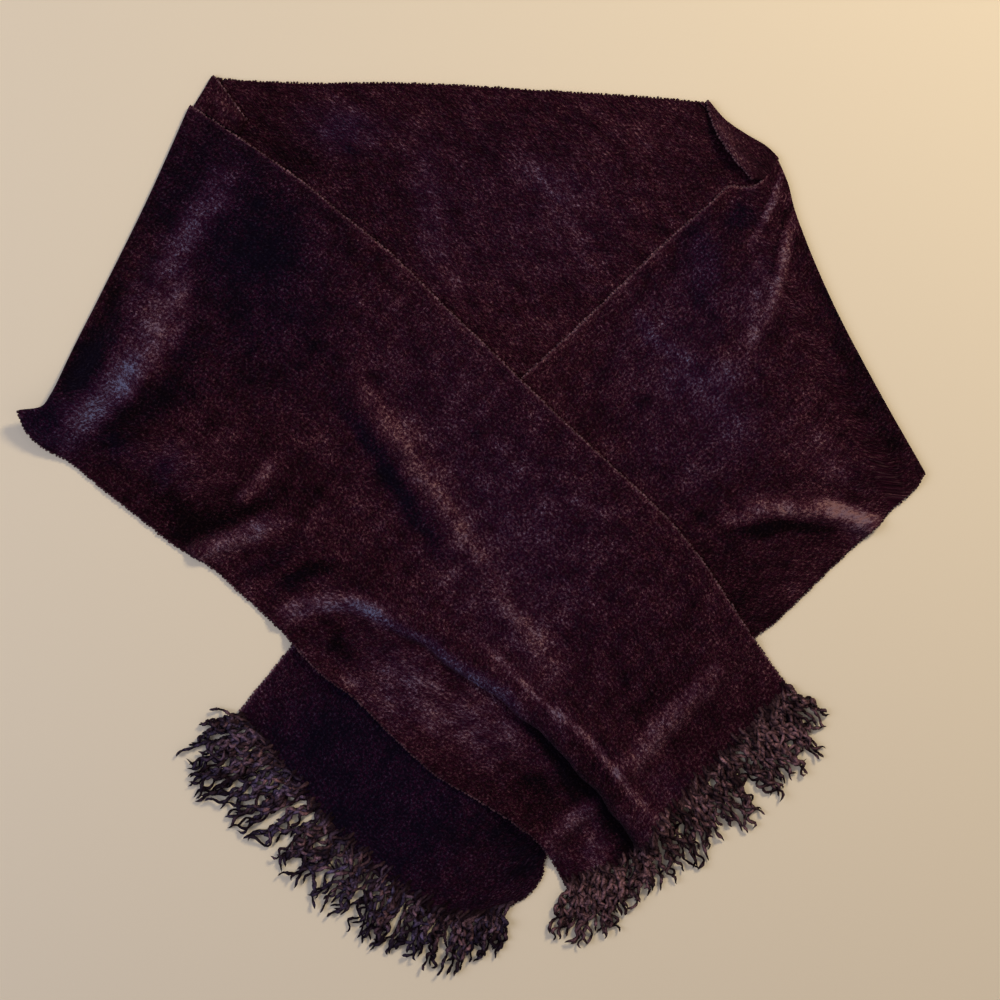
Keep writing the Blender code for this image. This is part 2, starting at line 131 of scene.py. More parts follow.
for lamp in LAMPS:
    add_lamp(lamp)
world = bpy.data.worlds.new("soft_room")
world.use_nodes = True
background = world.node_tree.nodes["Background"]
background.inputs["Color"].default_value = ROOM_COLOUR
background.inputs["Strength"].default_value = ROOM_STRENGTH
bpy.context.scene.world = world
print("lamps:", len(LAMPS), "and a soft room light")

# %% Floor
FLOOR_COLOUR = (0.67, 0.585, 0.465, 1.0)
FLOOR_HALF = 9.0
FLOOR_DROP = 0.0002
SQUARE = ((-1, -1), (1, -1), (1, 1), (-1, 1))

cream = bpy.data.materials.new("pale_cream_cloth")
cream.use_nodes = True
shader = cream.node_tree.nodes["Principled BSDF"]
shader.inputs["Base Color"].default_value = FLOOR_COLOUR
shader.inputs["Roughness"].default_value = 0.95
shader.inputs["Specular IOR Level"].default_value = 0.2
floor_mesh = bpy.data.meshes.new("floor")
floor_corners = [(x * FLOOR_HALF, y * FLOOR_HALF, -FLOOR_DROP) for x, y in SQUARE]
floor_mesh.from_pydata(floor_corners, [], [(0, 1, 2, 3)])
floor_mesh.materials.append(cream)
floor = bpy.data.objects.new("floor", floor_mesh)
bpy.context.scene.collection.objects.link(floor)
print("floor:", 2 * FLOOR_HALF, "metres wide")

# %% [markdown]
# Curves through a few rows
#
# A selvage, a fold line or a hem is given by a handful of points. A cubic between neighbouring points,
# with the slope at each taken from its neighbours, draws a smooth line through all of them. A curve
# object could draw it too, but an array can be read at any place by the surfaces below. The same
# function reads the sections of a stretch, four numbers at a time.

# %% Curve helpers
def spaced_knots(rows):
    """Places from 0 to 1 of a table's rows, spaced by the distances between them."""
    steps = np.linalg.norm(np.diff(rows, axis=0), axis=1)
    return np.concatenate(([0.0], np.cumsum(steps))) / steps.sum()


def hermite(rows, knots, at):
    """Cubic through rows at their knots: a row's slope is the central slope of its neighbours."""
    slopes = np.gradient(rows, knots, axis=0)
    index = np.clip(np.searchsorted(knots, at, side="right") - 1, 0, len(knots) - 2)
    span = (knots[index + 1] - knots[index])[..., None]
    part = (at - knots[index])[..., None] / span
    rise = part * part * (3.0 - 2.0 * part)
    leave = part * (1.0 - part) ** 2
    arrive = part * part * (part - 1.0)
    ends = rows[index] * (1.0 - rise) + rows[index + 1] * rise
    return ends + span * (slopes[index] * leave + slopes[index + 1] * arrive)


def smooth_rows(rows, at):
    """The cubic through a table's rows, read at places from 0 to 1 of its length."""
    rows = np.asarray(rows, float)
    return hermite(rows, spaced_knots(rows), np.clip(at, 0.0, 1.0))


def read_line(at, knots, rows):
    """Rows read on the straight lines between them, at places given on their knots."""
    return np.stack([np.interp(at, knots, column) for column in rows.T], axis=-1)


def straight_rows(rows, at):
    """The same places as smooth_rows, on the straight lines between the rows."""
    rows = np.asarray(rows, float)
    return read_line(at, spaced_knots(rows), rows)


def smoothstep(value):
    """0 below 0, 1 above 1, and 3t^2 - 2t^3 between."""
    value = np.clip(value, 0.0, 1.0)
    return value * value * (3.0 - 2.0 * value)


def near_line(points, line):
    """Distance from each point to a line of points, the share along it, and the way across it.

    The distance is positive on the right of someone who walks along the line, and negative on the left.
    """
    starts = line[:-1]
    runs = np.diff(line, axis=0)
    offsets = points[..., None, :] - starts
    along = np.clip((offsets * runs).sum(-1) / (runs * runs).sum(-1), 0.0, 1.0)
    gaps = offsets - along[..., None] * runs
    distances = np.linalg.norm(gaps, axis=-1)
    nearest = distances.argmin(axis=-1)
    pick = nearest[..., None]
    run = runs[nearest]
    offset = points - starts[nearest]
    right = np.stack((run[..., 1], -run[..., 0]), -1) / np.linalg.norm(run, axis=-1)[..., None]
    side = np.sign((offset * right).sum(-1))
    share = (nearest + np.take_along_axis(along, pick, -1)[..., 0]) / len(runs)
    return np.take_along_axis(distances, pick, -1)[..., 0] * side, share, right


print("after a quarter of its run a smooth step has risen by", round(float(smoothstep(0.25)), 3))

# %% [markdown]
# The strip's stretches in the plan
#
# The scarf is one woven strip, 280 mm wide. Its middle lies on the surface as the back stretch. At each
# end it folds over and comes forward as an arm. A cloth solver could drape such a strip, but it would
# never land in these folds. So each stretch is ruled between its selvages, as a straight weft is. A row
# of a table is one line across the strip, from the inner selvage to the outer one, and the rows follow
# each other from the fold to the hem.

# %% Sections of the strip
Section = namedtuple("Section", "inner_x inner_y outer_x outer_y")
BACK_SECTIONS = [
    Section(-203, 359, -336, 77),
    Section(-149, 356, -262, 73),
    Section(-60, 356, -141, 68),
    Section(70, 349, 40, 60),
    Section(134, 345, 170, 51),
    Section(181, 341, 353, 37),
]
LEFT_SEAM = [(-203, 359), (-336, 77)]
RIGHT_SEAM = [(181, 341), (235, 290), (353, 37)]
OVER_SECTIONS = [
    Section(-230, 338, -365, 91),
    Section(-222, 332, -361, 78),
    Section(-211, 325, -350, 65),
    Section(-190, 311, -330, 53),
    Section(-141, 277, -303, 31),
    Section(-104, 247, -264, 0),
    Section(-82, 230, -241, -18),
    Section(-60, 211, -214, -34),
    Section(-28, 179, -190, -55),
    Section(22, 131, -151, -91),
    Section(38, 115, -129, -115),
    Section(86, 69, -96, -141),
    Section(134, 25, -60, -177),
    Section(160, -1, -28, -205),
    Section(183, -30, 5, -224),
    Section(222, -90, 54, -259),
    Section(253, -134, 76, -295),
]
UNDER_SECTIONS = [
    Section(246, 294, 365, 41),
    Section(240, 285, 361, 33),
    Section(235, 278, 357, 28),
    Section(228, 273, 352, 23),
    Section(219, 272, 347, 19),
    Section(210, 273, 341, 14),
    Section(194, 260, 329, 1),
    Section(151, 223, 298, -27),
    Section(110, 183, 265, -59),
    Section(75, 150, 243, -80),
    Section(38, 116, 225, -93),
    Section(-28, 43, 183, -133),
    Section(-92, -34, 134, -183),
    Section(-146, -98, 92, -226),
    Section(-163, -119, 68, -252),
    Section(-173, -131, 57, -272),
    Section(-180, -140, 55, -285),
    Section(-186, -148, 44, -300),
    Section(-190, -153, 23, -312),
]
LEFT_TUCK_SECTIONS = [
    Section(-212, 362, -227, 337),
    Section(-202, 350, -214, 329),
    Section(-191, 335, -202, 321),
    Section(-183, 325, -190, 314),
]
RIGHT_TUCK_SECTIONS = [
    Section(190, 342, 247, 295),
    Section(195, 321, 245, 291),
    Section(204, 303, 241, 285),
    Section(225, 277, 233, 277),
]
print("sections of the arms:", len(OVER_SECTIONS), "over and", len(UNDER_SECTIONS), "under")

# %% Fold lines and hems
LEFT_FOLD = [(-230, 338), (-264, 262), (-304, 181), (-329, 131), (-341, 103), (-345, 96), (-365, 91)]
RIGHT_FOLD = [(246, 294), (254, 275), (259, 255), (268, 230), (289, 181), (327, 108), (365, 41)]
LEFT_TUCK_FOLD = [(-212, 362), (-219, 350), (-227, 337)]
RIGHT_TUCK_FOLD = [(190, 342), (203, 327), (220, 315), (238, 304), (247, 295)]
OVER_HEM = [(256, -135), (215, -177), (183, -212), (155, -240), (134, -269), (106, -281), (76, -295)]
UNDER_HEM = [(-190, -153), (-149, -204), (-100, -264), (-72, -287), (-44, -307), (-15, -320), (23, -312)]
fold_run = np.linalg.norm(np.diff(LEFT_FOLD, axis=0), axis=1).sum()
print("the left fold is", round(float(fold_run)), "mm long")

# %% [markdown]
# Folds, and marks of painted light and shade
#
# Folds could be sculpted and a lustre painted. A table keeps each one in a single line that can be
# changed by itself. Each row is one fold: the points of its line in the plan, its height at the start,
# middle and end, how far it spreads to the left and to the right of someone who walks along it, and
# the light painted on the pile there: how much lighter the painted highlight makes the pile, and how
# cool that light is. A mark of painted light has no height, and a negative light is painted shade,
# where the pile is painted black.

# %% Folds of the over arm
Fold = namedtuple("Fold", "line heights left right light cool")
NO_HEIGHT = (0.0, 0.0, 0.0)


def painted_light(line, spread, light, cool):
    """A mark of painted light without height, alike on both sides: a highlight above 0, shade below."""
    return Fold(line, NO_HEIGHT, spread, spread, light, cool)


# The last two numbers of a row are painted light: a painted highlight above 0, painted shade below 0, and
# how bluish it is.
OVER_FOLDS = [
    Fold([(-212, 270), (-262, 189), (-329, 77)], (1.0, 3.0, 3.5), 20, 20, 0.12, 0.3),
    painted_light([(-196, 286), (-220, 244), (-242, 212)], 15, 0.52, 0.2),
    painted_light([(-242, 206), (-244, 172), (-258, 143)], 19, 0.56, 0.16),
    painted_light([(-266, 148), (-276, 126), (-292, 106)], 16, 0.44, 0.6),
    painted_light([(-260, 168), (-268, 134)], 27, 0.24, 0.15),
    painted_light([(-226, 158), (-238, 122)], 18, -0.22, 0.3),
    painted_light([(-280, 119), (-304, 95), (-330, 71)], 19, 0.5, 1.2),
    painted_light([(-290, 107), (-320, 84)], 8, 0.1, 1.5),
    painted_light([(-304, 150), (-330, 100)], 15, -0.5, 0.6),
    painted_light([(-345, 86), (-328, 80)], 12, -0.3, 1.2),
    painted_light([(-296, 62), (-280, 58)], 16, -0.25, 0.7),
    painted_light([(-260, 48), (-240, 40)], 24, 0.06, 0.7),
    painted_light([(-224, -28), (-204, -20)], 11, 0.12, 0.1),
    Fold([(-257, 54), (-227, 59), (-198, 73)], (0.3, 0.8, 0.3), 18, 18, 0.26, 0.0),
    Fold([(-187, 19), (-173, 34), (-158, 54)], (2.5, 2.0, 0.5), 8, 8, 0.58, 0.1),
    Fold([(-222, -23), (-192, -13), (-156, 4)], (7.0, 4.5, 0.5), 13, 12, 0.74, 0.3),
    painted_light([(-180, -8), (-156, 4)], 10, 0.3, 0.2),
    painted_light([(-187, -41), (-161, -30), (-138, -16)], 12, -0.2, 0.3),
    painted_light([(-164, -60), (-142, -44), (-120, -38)], 10, -0.26, 0.3),
    painted_light([(-288, 200), (-292, 150), (-316, 108)], 17, -0.3, 0.2),
    painted_light([(-312, 62), (-272, 90), (-222, 112)], 17, -0.34, 0.3),
    painted_light([(-362, 96), (-334, 62)], 32, -0.15, 1.0),
    painted_light([(-224, 68), (-204, 82)], 11, -0.32, 0.0),
    painted_light([(-268, 24), (-222, -2), (-180, 6), (-144, 12)], 23, -0.36, 0.0),
    painted_light([(-240, 330), (-196, 246), (-176, 171)], 95, -0.28, 0.68),
    painted_light([(-186, 236), (-150, 130)], 60, -0.1, 0.3),
    painted_light([(-100, 190), (20, 60), (130, -60)], 100, 0.05, 0.4),
    painted_light([(112, -90), (184, -150)], 34, -0.1, 0.0),
    painted_light([(-30, -64), (30, -100), (64, -136)], 26, 0.08, 0.2),
    Fold([(2, -94), (40, -129), (64, -151), (92, -173), (124, -213), (149, -241)], NO_HEIGHT, 4, 3, 0.5, 0),
    painted_light([(-50, 40), (30, -40), (70, -120)], 90, 0.09, 0.35),
    painted_light([(-100, -72), (-60, -112)], 44, 0.05, 0.3),
    painted_light([(130, -140), (160, -166)], 20, -0.12, 0.0),
    painted_light([(24, -150), (60, -180)], 18, 0.2, 0.2),
    painted_light([(-94, -128), (-54, -166)], 16, 0.2, 0.3),
    painted_light([(84, -222), (104, -250)], 18, 0.34, 0.35),
    painted_light([(92, -168), (118, -212)], 14, -0.22, 0.2),
    painted_light([(140, -200), (170, -222)], 20, 0.18, 0.4),
    Fold(
        [(-93, 116), (-72, 86), (-53, 59), (-32, 31), (-13, 0), (5, -28)],
        (1.0, 5.0, 1.5),
        22,
        14,
        0.2,
        -0.25,
    ),
    Fold([(-89, 110), (-73, 85), (-55, 59), (-34, 31), (-13, 0), (5, -28)], NO_HEIGHT, 9, 8, 0.33, -0.2),
    Fold([(9, -34), (33, -72), (66, -112)], (1.0, 2.0, 0.6), 18, 12, 0.12, 0.0),
    painted_light([(9, -34), (33, -72), (66, -112)], 9, 0.28, -0.3),
    Fold([(-112, 104), (-91, 78), (-71, 43), (-48, 6), (-28, -22)], NO_HEIGHT, 11, 10, -0.36, 0.6),
    painted_light([(-149, -43), (-128, -36), (-110, -34)], 9, -0.32, 0.0),
    Fold([(75, 20), (96, 13), (107, 8)], (0.3, 0.8, 0.3), 5, 5, 0.29, 0.1),
    painted_light([(-149, -12), (-134, -3), (-121, 6)], 14, 0.22, 0.0),
    painted_light([(-26, -47), (-9, -33)], 8, 0.29, 0.0),
    painted_light([(-15, -54), (2, -68)], 6, 0.3, 0.0),
    Fold([(-163, -82), (-140, -66), (-107, -62), (-80, -72)], (3.0, 2.0, 0.0), 10, 11, 0.58, 0.35),
    painted_light([(-140, -92), (-112, -112)], 18, -0.1, 0.2),
    painted_light([(-76, -108), (-40, -126)], 20, 0.3, 0.4),
    painted_light([(-36, -142), (4, -166), (36, -192)], 30, 0.42, 0.4),
    painted_light([(60, -190), (74, -206)], 20, 0.16, 0.35),
    painted_light([(-66, -126), (-48, -150)], 15, 0.26, 0.3),
    painted_light([(-94, -66), (-70, -72)], 10, 0.3, 0.2),
    painted_light([(-20, 2), (0, -20)], 12, 0.2, -0.1),
    painted_light([(24, -60), (48, -92), (70, -124)], 18, 0.12, 0.0),
    painted_light([(60, -150), (76, -168)], 12, 0.12, 0.3),
    painted_light([(56, -262), (68, -278)], 14, 0.34, 0.5),
    painted_light([(84, -262), (112, -276)], 24, 0.5, 0.35),
    painted_light([(120, -235), (150, -250)], 22, 0.25, 0.2),
    painted_light([(-111, -83), (-107, -104)], 8, -0.32, 0.0),
    painted_light([(38, -212), (62, -204)], 10, -0.24, 0.0),
    painted_light([(-103, -116), (-90, -137)], 9, 0.29, 0.1),
    painted_light([(-40, -149), (-32, -166)], 10, 0.3, 0.1),
    painted_light([(-7, -153), (1, -171)], 8, 0.3, 0.1),
    Fold([(59, -256), (79, -240), (97, -224)], (2.5, 2.5, 0.6), 11, 11, 0.5, 0.25),
    Fold([(197, -118), (157, -158), (119, -199)], (1.0, 2.4, 1.4), 13, 11, 0.6, 0.2),
    Fold([(-149, -98), (-117, -125), (-92, -147)], (2.5, 4.5, 1.0), 15, 15, 0.1, 0.0),
    Fold([(13, -224), (37, -242), (58, -264)], (1.0, 4.5, 2.5), 15, 15, 0.1, 0.0),
    Fold([(-53, 183), (-63, 177), (-70, 170)], (0.3, 0.8, 0.3), 4, 4, 0.3, 0.1),
]
print("folds and brushed marks on the over arm:", len(OVER_FOLDS))

# %% Folds of the other stretches
# Here too the last two numbers of a row are painted light, highlight above 0 and shade below, and how
# bluish it is.
UNDER_FOLDS = [
    Fold([(249, 284), (243, 267), (236, 251), (229, 236), (222, 222)], (1.0, 2.5, 0.5), 5, 3, 0.6, 0.3),
    painted_light([(222, 262), (210, 238)], 15, -0.26, 0.8),
    Fold(
        [(260, 251), (252, 229), (248, 204), (242, 181), (235, 163), (223, 148)],
        (1.0, 3.0, 0.6),
        6,
        6,
        0.62,
        0.1,
    ),
    painted_light([(251, 250), (247, 225), (239, 203)], 5, -0.35, 0.0),
    painted_light([(180, 246), (188, 190)], 20, -0.17, 0.8),
    Fold([(131, 170), (147, 149), (173, 133)], (0.3, 0.8, 0.3), 8, 8, 0.16, 0.5),
    painted_light([(162, 113), (219, 124)], 18, 0.2, 0.5),
    painted_light([(239, 93), (290, 60)], 15, 0.12, 0.1),
    painted_light([(180, 112), (228, 66)], 28, 0.13, 0.5),
    painted_light([(120, 90), (210, 20)], 60, 0.05, 0.45),
    painted_light([(300, -2), (318, -16)], 15, 0.22, 0.3),
    Fold([(206, 2), (244, 13), (285, 8), (327, -5)], (1.0, 5.0, 6.0), 13, 11, 0.72, 0.0),
    Fold([(280, 13), (325, 2)], NO_HEIGHT, 10, 9, 0.95, 0.1),
    painted_light([(236, 222), (222, 170)], 20, 0.15, 0.4),
    painted_light([(266, 58), (318, 36)], 19, 0.28, 0.2),
    painted_light([(226, 182), (222, 140)], 10, 0.22, 0.2),
    painted_light([(24, -226), (54, -292)], 32, -0.22, 0.2),
    painted_light([(208, -8), (249, -1), (288, -4)], 9, -0.52, 0.0),
    painted_light([(347, 72), (322, 50)], 20, -0.1, 0.0),
    painted_light([(173, -21), (239, -82)], 32, -0.2, 0.0),
    painted_light([(268, 226), (302, 139), (347, 51)], 17, -0.2, 0.2),
    painted_light([(180, 190), (198, 154)], 8, -0.28, 0.2),
    painted_light([(-165, -127), (-84, -216), (-3, -289)], 120, -0.25, 1.1),
    painted_light([(130, 190), (200, 130)], 90, 0.10, 0.6),
]
BACK_FOLDS = [
    painted_light([(-44, 320), (-36, 260), (-32, 200)], 17, 0.24, 0.3),
    painted_light([(-128, 324), (-86, 316)], 26, 0.22, 0.9),
    painted_light([(20, 225), (100, 240)], 50, 0.1, 0.1),
    painted_light([(50, 158), (78, 146)], 24, 0.2, 0.0),
    painted_light([(37, 290), (58, 278), (86, 270)], 18, 0.28, 0.3),
    painted_light([(-36, 226), (-23, 209), (-11, 181)], 14, 0.22, 0.0),
    painted_light([(102, 319), (151, 303)], 20, 0.15, 0.0),
    painted_light([(-190, 335), (-110, 300)], 34, -0.12, 0.0),
    painted_light([(-200, 290), (-90, 256), (20, 300)], 70, -0.08, 0.1),
    painted_light([(-60, 270), (60, 250), (150, 260)], 110, 0.04, 0.35),
]
LEFT_TUCK_FOLDS = [Fold([(-214, 349), (-203, 337), (-190, 326)], (0.5, 1.5, 3.5), 6, 6, 0.08, 0.0)]
RIGHT_TUCK_FOLDS = [Fold([(191, 334), (200, 310), (222, 280)], (2.0, 7.0, 2.0), 14, 14, 0.3, 0.2)]
print("folds and brushed marks on the under arm and the back:", len(UNDER_FOLDS), len(BACK_FOLDS))

# %% [markdown]
# The rolled pleat
#
# The over arm has one big fold that runs to the hem and leans over, so that its foot is tucked under
# it. A height alone can't lean. The cross-section is a short table instead: how far a thread lies from
# the crest when the cloth is flat, where the fold moves it to, and how high it then lies. The table is
# used in full at the hem and fades towards the start of the pleat.

# %% Cross-section of the pleat
PleatRow = namedtuple("PleatRow", "across moved height")
PLEAT_ROWS = [
    PleatRow(-52, -52, 0.0),
    PleatRow(-36, -36.5, 1.4),
    PleatRow(-22, -23, 4.8),
    PleatRow(-11, -12, 9.2),
    PleatRow(-2, -2.5, 12.4),
    PleatRow(6, 6.5, 13.0),
    PleatRow(13, 15, 11.4),
    PleatRow(18, 20.5, 8.0),
    PleatRow(22, 22.5, 4.6),
    PleatRow(26, 21.5, 2.0),
    PleatRow(29, 20.5, 0.6),
    PleatRow(33, 23.5, 0.0),
    PleatRow(44, 44, 0.0),
]
PLEAT_CREST = [
    (-160, -66),
    (-105, -58),
    (-50, -77),
    (0, -108),
    (46, -136),
    (75, -159),
    (117, -203),
    (154, -247),
    (168, -266),
]
PLEAT_STRENGTH = [(0.0, 0.0), (0.12, 0.15), (0.35, 0.45), (0.6, 0.8), (0.8, 1.0), (1.0, 1.0)]
PLEAT_SPREAD = [(0.0, 0.6), (0.35, 0.62), (0.65, 0.9), (0.85, 1.1), (1.0, 1.1)]
LEAN_RUN = 0.2


def ruffled(points):
    """Plan points moved by up to 3 mm along crossed waves, so that a mark of painted light has no clean
    edge.
    """
    x, y = points[..., 0], points[..., 1]
    over = 1.4 * np.sin(y / 11.3 + x / 17.0) + 1.1 * np.sin(y / 7.1 - x / 9.1 + 2.0)
    up = 1.4 * np.sin(x / 12.7 - y / 15.0 + 1.0) + 1.1 * np.sin(x / 8.3 + y / 6.7)
    return points + np.stack((over, up), axis=-1)


def pleat(points):
    """How far the pleat moves plan points, and how high it lifts them.

    The signed distance to the crest, over the pleat's spread, picks a place in the cross-section, whose
    columns are read on a smooth curve. Both results are scaled by the pleat's strength there.
    """
    line = smooth_rows(PLEAT_CREST, np.linspace(0.0, 1.0, 48))
    distance, share, right = near_line(ruffled(points), line)
    rows = np.array(PLEAT_ROWS, float)
    strength = np.interp(share, *np.array(PLEAT_STRENGTH).T)
    spread = np.interp(share, *np.array(PLEAT_SPREAD).T)
    at = np.clip(distance / spread, rows[0, 0], rows[-1, 0])
    moved, height = np.moveaxis(hermite(rows[:, 1:], rows[:, 0], at), -1, 0)
    shift = (moved - at) * spread * strength * smoothstep(share / LEAN_RUN)
    return right * shift[..., None], np.maximum(height, 0.0) * strength, at, share, strength


print("the pleat is", max(row.height for row in PLEAT_ROWS), "mm high at the hem")

# %% Light on the pleat
PleatMark = namedtuple("PleatMark", "place width light cool")
# Painted highlight on the crest, bluish painted highlight on the flank, painted shadow at the foot.
CREST_HIGHLIGHT = PleatMark(-0.5, 3.2, 0.2, 0.0)
FLANK_HIGHLIGHT = PleatMark(15.0, 7.0, 0.85, 3.0)
FOOT_SHADOW = PleatMark(31.0, 9.5, -1.0, 0.0)
HEM_PART_FROM = 0.42
HEM_PART_FADE = 0.2
FOOT_FROM = 0.49
FOOT_FADE = 0.15


def pleat_marks(place, share, strength):
    """Painted light and coolness on the pleat, as sums of bell curves across its crest, flank and foot.

    The crest has a painted highlight near the hem, and the flank a bluish painted highlight away from it.
    The foot has a painted shadow from the middle on.
    """
    near_hem = smoothstep((share - HEM_PART_FROM) / HEM_PART_FADE)
    shown = {
        CREST_HIGHLIGHT: near_hem,
        FLANK_HIGHLIGHT: (1.0 - near_hem) * strength,
        FOOT_SHADOW: smoothstep((share - FOOT_FROM) / FOOT_FADE),
    }
    light = np.zeros(place.shape)
    cool = np.zeros(place.shape)
    for mark, amount in shown.items():
        bell = amount * np.exp(-(((place - mark.place) / mark.width) ** 2))
        light += mark.light * bell
        cool += mark.cool * bell
    return light, cool


print("the blue flank lies", FLANK_HIGHLIGHT.place, "mm from the crest")


# %% [markdown]
# Layers, folds and the lifted corner
#
# A stretch lies on whatever is below it: one layer of cloth adds 2.8 mm, and just past the edge of that
# layer the cloth comes down again. A solver could settle the layers on each other, but a sum is exact
# and gives the same cloth each time: the layers below, the folds, the pleat and the corner that curls
# up on the left. A very low swell keeps the flat parts from looking ironed.

# %% Heights of the layers
CLOTH = 2.2
LAYER_GAP = 0.6
BEND = (CLOTH + LAYER_GAP) / 2
STEP = CLOTH + LAYER_GAP
STEP_FLAT = 2.5
STEP_RAMP = 11.0
SWELL = 0.35
Lift = namedtuple("Lift", "x y reach height")
CORNER_LIFT = Lift(-365, 91, 60, 12.0)


def inside_distance(points, outline):
    """Distance to a closed outline, negative outside it, by counting edges crossed to the right."""
    ring = np.vstack((outline, outline[:1]))
    distance = np.abs(near_line(points, ring)[0])
    x, y = points[..., 0, None], points[..., 1, None]
    x0, y0 = ring[:-1].T
    x1, y1 = ring[1:].T
    spans = (y0 > y) != (y1 > y)
    rise = np.where(y1 == y0, 1.0, y1 - y0)
    crossed = (spans & (x < x0 + (y - y0) * (x1 - x0) / rise)).sum(axis=-1)
    return np.where(crossed % 2 == 1, distance, -distance)


def layers_below(points, outlines):
    """One step of cloth for each outline, level just past its edge and then down a smooth ramp."""
    height = np.zeros(points.shape[:-1])
    for outline in outlines:
        outside = -inside_distance(points, outline) - STEP_FLAT
        height += STEP * (1.0 - smoothstep(outside / STEP_RAMP))
    return height


def swell(points):
    """A low swell, never below zero: five crossed waves 45 to 140 mm long."""
    x, y = points[..., 0], points[..., 1]
    waves = np.sin(x / 9.1 + y / 23.0 + 1.0) + np.sin(x / 17.0 - y / 8.3 + 2.2)
    waves += np.sin(x / 12.7 + y / 11.9 + 4.0) + np.sin(y / 15.1 - x / 21.0) + np.sin(x / 7.3 - y / 13.0)
    return SWELL * (1.0 + waves / 5.0)


print("one layer of cloth lifts the next by", STEP, "mm")

# %% Heights and light of the folds
MARK_SOFT = 1.3
WIDE_MARK = 24.0
MARK_END_LIGHT = 0.45
MARK_END_SHARE = 0.3
LINE_DETAIL = 5


def hump(distance, fold):
    """A cosine hump across a fold: 1 on its line, 0 where its left or right width ends."""
    width = np.where(distance < 0, fold.left, fold.right)
    return 0.5 * (1.0 + np.cos(math.pi * np.clip(np.abs(distance) / width, 0.0, 1.0)))


def fold_fields(points, folds):
    """Height, painted light and painted coolness of a table of folds, as sums of their humps.

    The painted light of a fold is a hump a little wider than its height. It fades towards the ends of
    the line, and it is read at ruffled points, less ruffled where the fold is narrow, so that its line
    holds.
    """
    height = np.zeros(points.shape[:-1])
    light = np.zeros(points.shape[:-1])
    cool = np.zeros(points.shape[:-1])
    ruffle = ruffled(points) - points
    for fold in folds:
        line = smooth_rows(fold.line, np.linspace(0.0, 1.0, LINE_DETAIL * len(fold.line)))
        if max(fold.heights) > 0.0:
            distance, share, _ = near_line(points, line)
            height += np.interp(share, (0.0, 0.5, 1.0), fold.heights) * hump(distance, fold)
        painted_at = points + ruffle * min((fold.left + fold.right) / WIDE_MARK, 1.0)
        distance, share, _ = near_line(painted_at, line)
        mark = hump(distance / MARK_SOFT, fold)
        inwards = smoothstep(np.minimum(share, 1.0 - share) / MARK_END_SHARE)
        mark *= MARK_END_LIGHT + (1.0 - MARK_END_LIGHT) * inwards
        light += fold.light * mark
        cool += fold.cool * mark
    return height, light, cool


print("a mark's light reaches", MARK_SOFT, "times as far as its height")

# %% [markdown]
# One stretch of cloth as a surface
#
# The surface has two parameters: s runs along the strip and v across it. From s = 0 to 1 a stretch is
# ruled between its selvages. Round the fold, s runs from -1 to 0 over a half circle, and from -2 to -1
# along the part underneath, out from the seam with the back. One formula for all of it leaves no joint
# to hide. The thread's own lengths, measured on the bent surface, become the UV map, so the weave keeps
# its scale over every fold.

# %% The stretch
NUDGE = 1e-3
LONG_FADE = 6
TUCK_FADE = 1
EDGE_HIGHLIGHT_WIDTH = 2.0
FOLD_CALM = 16.0
PLEAT_CALM = 0.7
PLEAT_TAKES_OVER = 4.0


